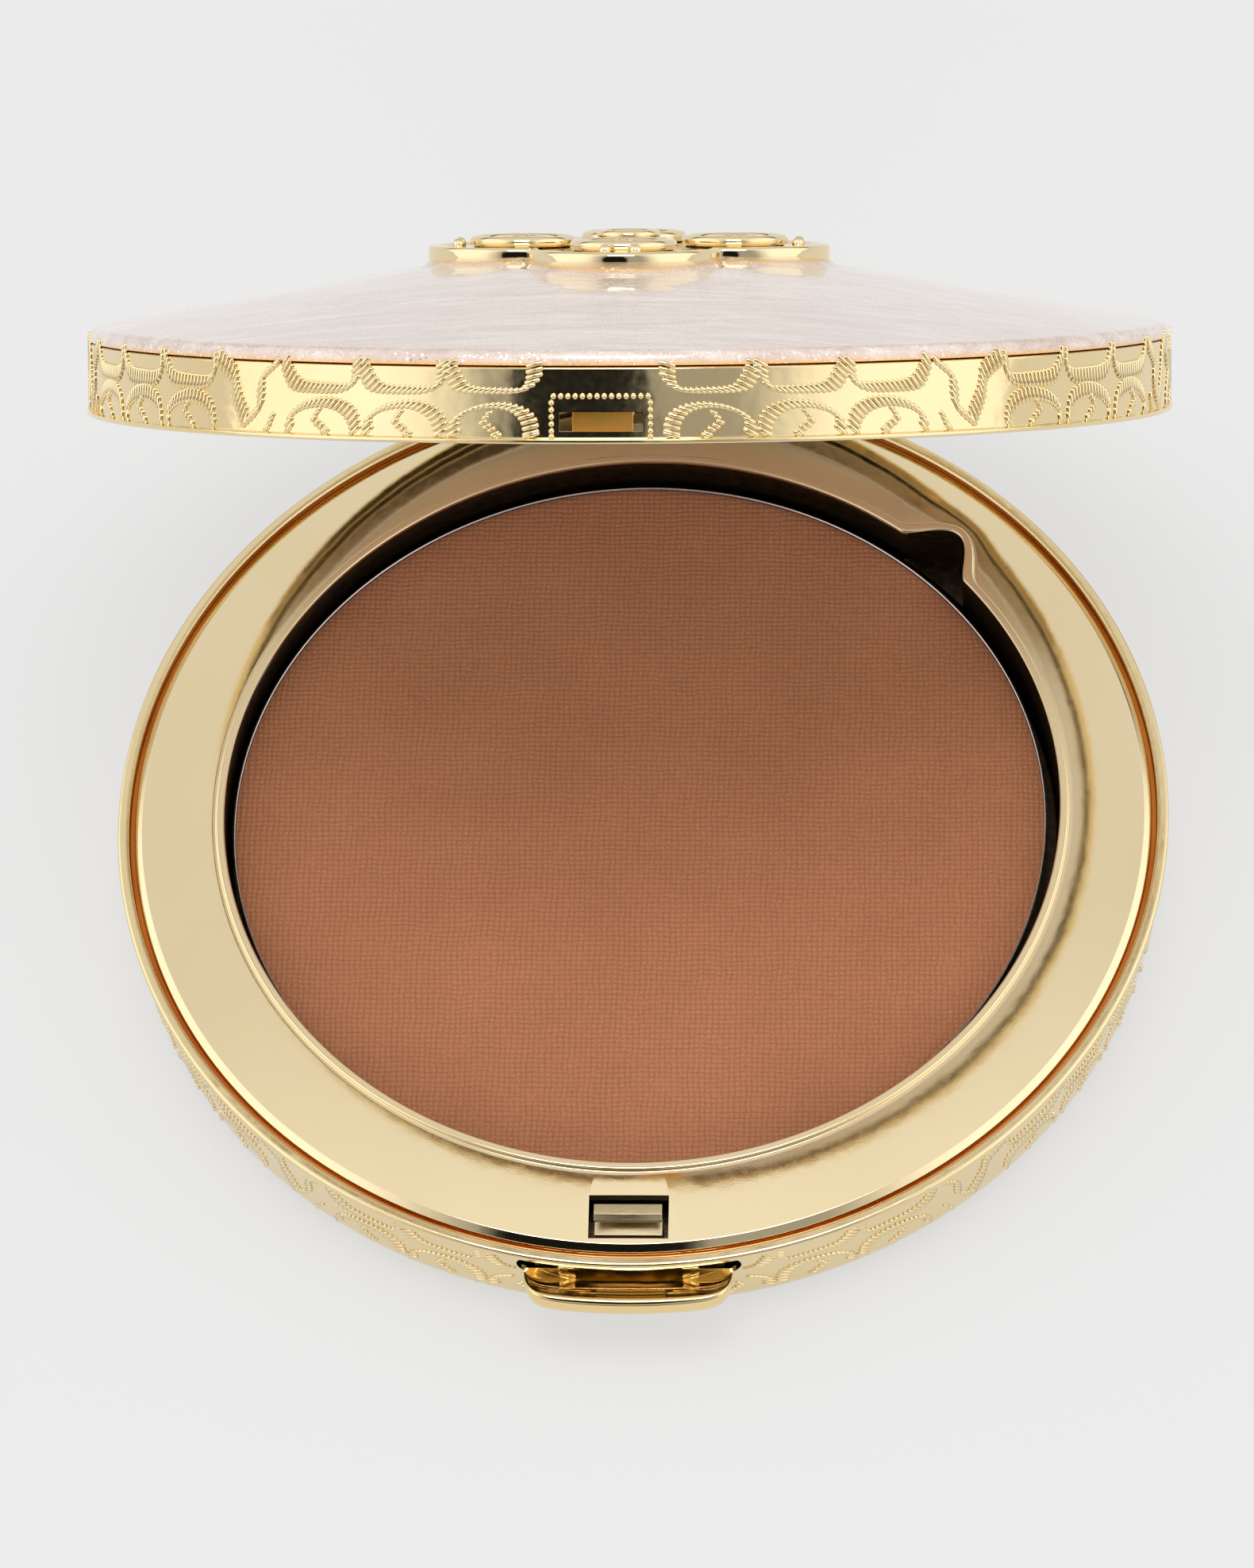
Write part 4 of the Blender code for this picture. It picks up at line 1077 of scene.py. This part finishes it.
def both_halves(stitches):
    """Mirror the half pattern: stitches lean outwards and down, and stay above the lower rim."""
    out = []
    for s, v, lean, length, width in stitches:
        long = length * 1.16 if length > width * 1.2 else length
        lowest = band_depth - 0.42 - (long - width) / 2.0 * abs(math.sin(lean)) - width / 2.0
        v = min(v, lowest)
        out.append((s, v, lean, long, width))
        if abs(s) > 0.01:
            out.append((-s, v, -lean, long, width))
    return out


def clear_of(stitches, half_width, low, high):
    """Leave out stitches that would cross an opening at the front centre."""
    return [item for item in stitches if not (abs(item[0]) < half_width and low < item[1] < high)]


def band_surface(u, v):
    """Lid band: v runs down from the enamel's edge."""
    angle = u * MM / case_radius
    radial = Vector((math.sin(angle), -math.cos(angle), 0.0))
    place_at = radial * (ground_radius + 0.02 * MM)
    place_at.z = band_top_z - 0.1 * MM - v * MM
    return place_at, Vector((math.cos(angle), math.sin(angle), 0.0)), Vector((0.0, 0.0, -1.0)), radial


def side_surface(u, v):
    """Base side: v runs down from the rim bead and round the foot."""
    angle = u * MM / case_radius
    radial = Vector((math.sin(angle), -math.cos(angle), 0.0))
    depth = v * 1.12 * MM
    radius, height = base_side(depth)
    below, lower = base_side(depth + 0.1 * MM)
    down = (radial * (below - radius) + Vector((0.0, 0.0, lower - height))).normalized()
    across = Vector((math.cos(angle), math.sin(angle), 0.0))
    place_at = radial * (radius - 0.02 * MM)
    place_at.z = height
    return place_at, across, down, across.cross(down)


def make_lace():
    pattern = both_halves(half_lace())
    hinge_reach = half_girth - (hinge_length / 2.0 / MM + 1.5)
    pattern = [item for item in pattern if abs(item[0]) < hinge_reach]
    lid_lace = stitch_mesh("lid_lace", clear_of(pattern, 2.95, 2.85, 4.75), band_surface)
    open_lid(lid_lace)
    place(lid_lace, gold_lace, "lid", "gold_relief")
    tab_reach = (tab_high.x - tab_low.x) / 2.0 / MM + 1.2
    side = clear_of(pattern, tab_reach, 0.6, 3.6)
    base_lace = stitch_mesh("base_lace", side, side_surface)
    place(base_lace, gold_lace, "base", "gold_relief")


make_lace()


# Emblem ---------------------------------------------------------------------------------

def joined(name, parts):
    """One object from several, all without transforms."""
    bm = bmesh.new()
    for part in parts:
        bm.from_mesh(part.data)
        bpy.data.objects.remove(part)
    mesh = bpy.data.meshes.new(name)
    bm.to_mesh(mesh)
    bm.free()
    return add_object(name, mesh)


def wire_ring(centre, radius, wire, steps=96, sides=14):
    """Round wire bent to a flat ring."""
    profile = [(radius + wire * math.cos(2.0 * math.pi * side / sides),
                -wire * math.sin(2.0 * math.pi * side / sides))
               for side in range(sides)]
    ring = lathe("ring", profile, steps, closed=True)
    ring.data.transform(Matrix.Translation(centre))
    return ring


def ball(centre, radius):
    mesh = bpy.data.meshes.new("ball")
    bm = bmesh.new()
    bmesh.ops.create_uvsphere(bm, u_segments=24, v_segments=14, radius=radius)
    bm.transform(Matrix.Translation(centre))
    bm.to_mesh(mesh)
    bm.free()
    return add_object("ball", mesh)


def make_clover():
    """Lobed plate with well rounded edges and a shallow sunk field on top."""
    low = dome_top_z + 0.02 * MM
    high = dome_top_z + 0.1 * MM + plaque_thickness
    steps = 480
    rows = [(0.06, low), (0.0, low + 0.1 * MM), (0.0, high - 0.32 * MM)]
    rows += [(0.3 - 0.3 * math.cos(math.pi / 2.0 * part / 7.0),
              high - 0.32 * MM + 0.3 * MM * math.sin(math.pi / 2.0 * part / 7.0))
             for part in range(1, 8)]
    rows += [(0.75, high), (0.9, high - 0.04 * MM), (1.05, high - 0.14 * MM),
             (1.3, high - 0.16 * MM), (4.0, high - 0.16 * MM)]
    verts = []
    for inset, height in rows:
        for step in range(steps):
            angle = 2.0 * math.pi * step / steps
            radius = lobed_radius(angle) - inset * MM
            verts.append((radius * math.cos(angle), radius * math.sin(angle), height))
    verts += [(0.0, 0.0, low), (0.0, 0.0, high - 0.16 * MM)]
    faces = []
    for step in range(steps):
        after = (step + 1) % steps
        faces.append((len(verts) - 2, after, step))
        for row in range(len(rows) - 1):
            first = row * steps
            faces.append((first + step, first + after, first + steps + after, first + steps + step))
        last = (len(rows) - 1) * steps
        faces.append((last + step, last + after, len(verts) - 1))
    mesh = bpy.data.meshes.new("emblem_clover")
    mesh.from_pydata(verts, [], faces)
    clover = add_object("emblem_clover", mesh)
    open_lid(clover)
    shade(clover, 40.0)
    place(clover, gold_emblem, "lid", "gold_emblem", "emblem_plaque")


def make_scrolls():
    """Wire rings and beads on the lobes, and a stepped centre with its own raised ring."""
    floor_z = dome_top_z + 0.1 * MM + plaque_thickness - 0.16 * MM
    for lobe in range(lobe_count):
        turn = 2.0 * math.pi * lobe / lobe_count
        outward = Vector((math.cos(turn), math.sin(turn), 0.0))
        aside = Vector((-math.sin(turn), math.cos(turn), 0.0))
        centre = outward * (emblem_reach - lobe_radius)
        wire_z = Vector((0.0, 0.0, floor_z + 0.42 * MM))
        parts = [wire_ring(centre + wire_z, 3.5 * MM, 0.42 * MM)]
        parts += [wire_ring(centre + aside * side * 1.45 * MM + wire_z, 1.4 * MM, 0.34 * MM, 64)
                  for side in (1.0, -1.0)]
        parts.append(ball(centre + Vector((0.0, 0.0, floor_z + 0.35 * MM)), 0.62 * MM))
        bead_z = Vector((0.0, 0.0, floor_z + 0.2 * MM))
        parts += [ball(centre + outward * 4.7 * MM + aside * side * 1.1 * MM + bead_z, 0.45 * MM)
                  for side in (1.0, -1.0)]
        scroll = joined("emblem_scroll_%d" % (lobe + 1), parts)
        open_lid(scroll)
        shade(scroll, 40.0)
        place(scroll, gold_emblem, "lid", "gold_emblem", "emblem_loop_%d" % (lobe + 1))
    top = dome_top_z + 2.45 * MM
    crown = lathe("crown", rounded([
        (0.0, top - 0.35 * MM, 0.0),
        (1.1 * MM, top - 0.4 * MM, 0.3 * MM),
        (1.25 * MM, top - 0.75 * MM, 0.1 * MM),
        (2.6 * MM, top - 0.8 * MM, 0.2 * MM),
        (2.6 * MM, floor_z, 0.0),
        (0.0, floor_z, 0.0),
    ], 6), 96)
    crown_ring = wire_ring(Vector((0.0, 0.0, top - 0.4 * MM)), 2.0 * MM, 0.36 * MM)
    centre = joined("emblem_crown", [crown, crown_ring])
    open_lid(centre)
    shade(centre, 40.0)
    place(centre, gold_emblem, "lid", "gold_emblem", "emblem_boss")


make_clover()
make_scrolls()


# Thumb tab and small parts ----------------------------------------------------------------

def make_thumb_tab():
    """Scooped tab with a rolled lip and soft corners."""
    back = inner_radius
    front = -tab_low.y
    half = (tab_high.x - tab_low.x) / 2.0
    low, high = tab_low.z, tab_low.z + 1.7 * MM
    section = [(0.0, 0.0), (0.4, 0.0), (0.72, 0.0), (0.86, 0.04), (0.95, 0.14), (0.99, 0.3),
               (1.0, 0.5), (0.985, 0.72),
               (0.95, 0.88), (0.91, 0.97), (0.86, 1.0), (0.81, 0.96), (0.76, 0.85), (0.7, 0.7), (0.6, 0.52),
               (0.45, 0.4), (0.25, 0.38), (0.0, 0.5)]
    stations = 72
    verts = []
    for station in range(stations + 1):
        along = -math.cos(math.pi * station / stations)
        width = half * along
        fade = max(1.0 - abs(along) ** 12.0, 0.0) ** 0.4
        reach = back + (math.sqrt(front ** 2 - width ** 2) - back) * fade
        for out, up in section:
            rise = 0.5 + (up - 0.5) * (0.45 + 0.55 * fade)
            verts.append((width, -(back + (reach - back) * out), low + (high - low) * rise))
    count = len(section)
    faces = [tuple(range(count)), tuple(range(stations * count, (stations + 1) * count))[::-1]]
    for station in range(stations):
        first = station * count
        for index in range(count):
            after = (index + 1) % count
            faces.append((first + index, first + count + index, first + count + after, first + after))
    mesh = bpy.data.meshes.new("thumb_tab")
    mesh.from_pydata(verts, [], faces)
    mesh.validate()
    tab = add_object("thumb_tab", mesh)
    bm = bmesh.new()
    bm.from_mesh(mesh)
    bmesh.ops.remove_doubles(bm, verts=bm.verts, dist=1e-6)
    bmesh.ops.recalc_face_normals(bm, faces=bm.faces)
    bm.to_mesh(mesh)
    bm.free()
    shade(tab, 50.0)
    place(tab, gold_tab, "latch", "gold_polished", "push_tab")


def softened(node_name, name, width, material, body, slot):
    """Copy of a frame node with its edges broken."""
    source = frame["nodes"][node_name]
    mesh = source.data.copy()
    mesh.name = name
    mesh.transform(source.matrix_world)
    piece = add_object(name, mesh)
    bm = bmesh.new()
    bm.from_mesh(mesh)
    bmesh.ops.remove_doubles(bm, verts=bm.verts, dist=1e-7)
    bmesh.ops.dissolve_limit(bm, angle_limit=math.radians(1.0), verts=bm.verts, edges=bm.edges)
    bm.to_mesh(mesh)
    bm.free()
    bevel(piece, width, 3, 35.0)
    shade(piece, 40.0)
    place(piece, material, body, slot, node_name)


def make_spring(node_name, name):
    """Copy of a latch spring (the real one shortens as the tab is pressed)."""
    source = frame["nodes"][node_name]
    mesh = source.data.copy()
    mesh.name = name
    mesh.transform(source.matrix_world)
    spring = add_object(name, mesh)
    shade(spring, 40.0)
    place(spring, steel, "base", "steel", node_name)
    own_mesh(spring)


make_thumb_tab()
make_spring("latch_spring_left", "latch_coil_left")
make_spring("latch_spring_right", "latch_coil_right")
softened("latch_slider", "latch_hook", 0.1 * MM, bronze, "latch", "bronze_hook")
# The catch plate's amber tint is painted bounce light.
softened("lid_catch", "catch_plate", 0.08 * MM, gold_painted_bounce, "lid", "gold_polished")


# Frame nodes that keep their own shape ----------------------------------------------------

KEPT = {
    "bottom_disc": gold_bright, "ballast_plate": steel, "pan_magnet": dark_magnet, "base_hinge_knuckle": gold_bright,
    "lid_hinge_knuckle_left": gold_bright, "lid_hinge_knuckle_right": gold_bright, "hinge_pin": steel,
    "latch_guide": guide_black, "tab_rivet_left": steel,
    "tab_rivet_right": steel, "mirror_pad": foam, "emblem_rivet_left": gold_emblem, "emblem_rivet_right": gold_emblem,
}
for node_name, material in KEPT.items():
    set_material(frame["nodes"][node_name], material)
    shade(frame["nodes"][node_name], 30.0)


# Studio ---------------------------------------------------------------------------------

def make_floor():
    """Pale backdrop that the compact stands on, partly self-lit so that the shadow stays faint."""
    mesh = bpy.data.meshes.new("studio_floor")
    bm = bmesh.new()
    bmesh.ops.create_grid(bm, x_segments=1, y_segments=1, size=3.0)
    bm.to_mesh(mesh)
    bm.free()
    floor = add_object("studio_floor", mesh)
    graph = Graph("pale_floor")
    graph.shader.inputs["Base Color"].default_value = (0.22, 0.22, 0.22, 1.0)
    graph.shader.inputs["Roughness"].default_value = 1.0
    graph.shader.inputs["Specular IOR Level"].default_value = 0.0
    graph.shader.inputs["Emission Color"].default_value = (1.0, 1.0, 1.0, 1.0)
    graph.shader.inputs["Emission Strength"].default_value = floor_glow
    set_material(floor, graph.material)


def direction(azimuth, elevation):
    """Unit vector towards a place in the studio; azimuth 0 is the front, 90 the right, in degrees."""
    turn = math.radians(azimuth)
    rise = math.radians(elevation)
    return (math.sin(turn) * math.cos(rise), -math.cos(turn) * math.cos(rise), math.sin(rise))


def make_world():
    """Soft studio surroundings: a grey level all round, and patches that are brighter or darker."""
    world = bpy.data.worlds.new("studio")
    bpy.context.scene.world = world
    world.use_nodes = True
    tree = world.node_tree
    background = tree.nodes["Background"]
    coords = tree.nodes.new("ShaderNodeTexCoord")
    split = tree.nodes.new("ShaderNodeSeparateXYZ")
    tree.links.new(coords.outputs["Generated"], split.inputs["Vector"])
    height = tree.nodes.new("ShaderNodeMapRange")
    height.interpolation_type = "SMOOTHSTEP"
    height.inputs["From Min"].default_value = 0.02
    height.inputs["From Max"].default_value = 0.34
    height.inputs["To Min"].default_value = horizon_level
    height.inputs["To Max"].default_value = studio_level
    tree.links.new(split.outputs["Z"], height.inputs["Value"])
    color = None
    for azimuth, elevation, inner, outer, level in studio_patches:
        dot = tree.nodes.new("ShaderNodeVectorMath")
        dot.operation = "DOT_PRODUCT"
        dot.inputs[1].default_value = direction(azimuth, elevation)
        tree.links.new(coords.outputs["Generated"], dot.inputs[0])
        fade = tree.nodes.new("ShaderNodeMapRange")
        fade.interpolation_type = "SMOOTHSTEP"
        fade.inputs["From Min"].default_value = math.cos(math.radians(outer))
        fade.inputs["From Max"].default_value = math.cos(math.radians(inner))
        tree.links.new(dot.outputs["Value"], fade.inputs["Value"])
        mix = tree.nodes.new("ShaderNodeMix")
        mix.data_type = "RGBA"
        tree.links.new(fade.outputs["Result"], mix.inputs["Factor"])
        if color is None:
            tree.links.new(height.outputs["Result"], mix.inputs[6])
        else:
            tree.links.new(color, mix.inputs[6])
        mix.inputs[7].default_value = (level, level, level, 1.0)
        color = mix.outputs[2]
    tree.links.new(color, background.inputs["Color"])


def area_light(name, azimuth, elevation, distance, size, power, shown=True):
    """Rectangular softbox that faces the compact."""
    data = bpy.data.lights.new(name, "AREA")
    data.shape = "RECTANGLE"
    data.size, data.size_y = size
    data.energy = power
    light = bpy.data.objects.new(name, data)
    bpy.context.scene.collection.objects.link(light)
    light.location = Vector(direction(azimuth, elevation)) * distance
    light.rotation_mode = "QUATERNION"
    light.rotation_quaternion = (-light.location).to_track_quat("-Z", "Y")
    light.visible_glossy = shown
    return light


def make_camera():
    data = bpy.data.cameras.new("camera")
    data.sensor_width = 36.0
    data.lens = camera_lens
    data.clip_start = 0.01
    data.clip_end = 20.0
    camera = bpy.data.objects.new("camera", data)
    bpy.context.scene.collection.objects.link(camera)
    axes = Matrix((camera_right, camera_up, camera_back)).transposed().to_4x4()
    centre = Vector((0.0, 0.0, ring_z))
    camera.matrix_world = Matrix.Translation(centre + camera_back * camera_distance
                                             - camera_right * camera_side - camera_up * camera_lift) @ axes
    bpy.context.scene.camera = camera


camera_azimuth = math.radians(5.3)
camera_elevation = math.radians(56.57)
camera_roll = math.radians(-4.43)
camera_distance = 0.615
camera_lens = 185.9
camera_side = 0.00110
camera_lift = -0.00150
level_back = Vector((math.sin(camera_azimuth) * math.cos(camera_elevation),
                     -math.cos(camera_azimuth) * math.cos(camera_elevation), math.sin(camera_elevation)))
level_right = Vector((math.cos(camera_azimuth), math.sin(camera_azimuth), 0.0))
level_up = level_back.cross(level_right)
camera_back = level_back
camera_right = level_right * math.cos(camera_roll) + level_up * math.sin(camera_roll)
camera_up = level_up * math.cos(camera_roll) - level_right * math.sin(camera_roll)

# Studio surroundings: grey level all round, then (azimuth, elevation, inner and outer angle, level).
studio_level = 0.82
horizon_level = 0.16
studio_patches = [
    (0.0, 90.0, 12.0, 34.0, 1.0),
    (5.0, 50.0, 22.0, 48.0, 0.42),
    (-11.0, 44.0, 13.0, 17.0, 0.01),
    (-90.0, 22.0, 22.0, 52.0, 1.35),
    (90.0, 22.0, 22.0, 52.0, 1.35),
]
floor_glow = 0.56

make_camera()
make_world()
make_floor()
area_light("top_softbox", 0.0, 84.0, 0.9, (0.45, 0.35), 2.5)
area_light("front_softbox", 0.0, 22.0, 0.95, (1.1, 0.4), 3.8, shown=False)
bpy.context.scene.view_settings.view_transform = "Standard"
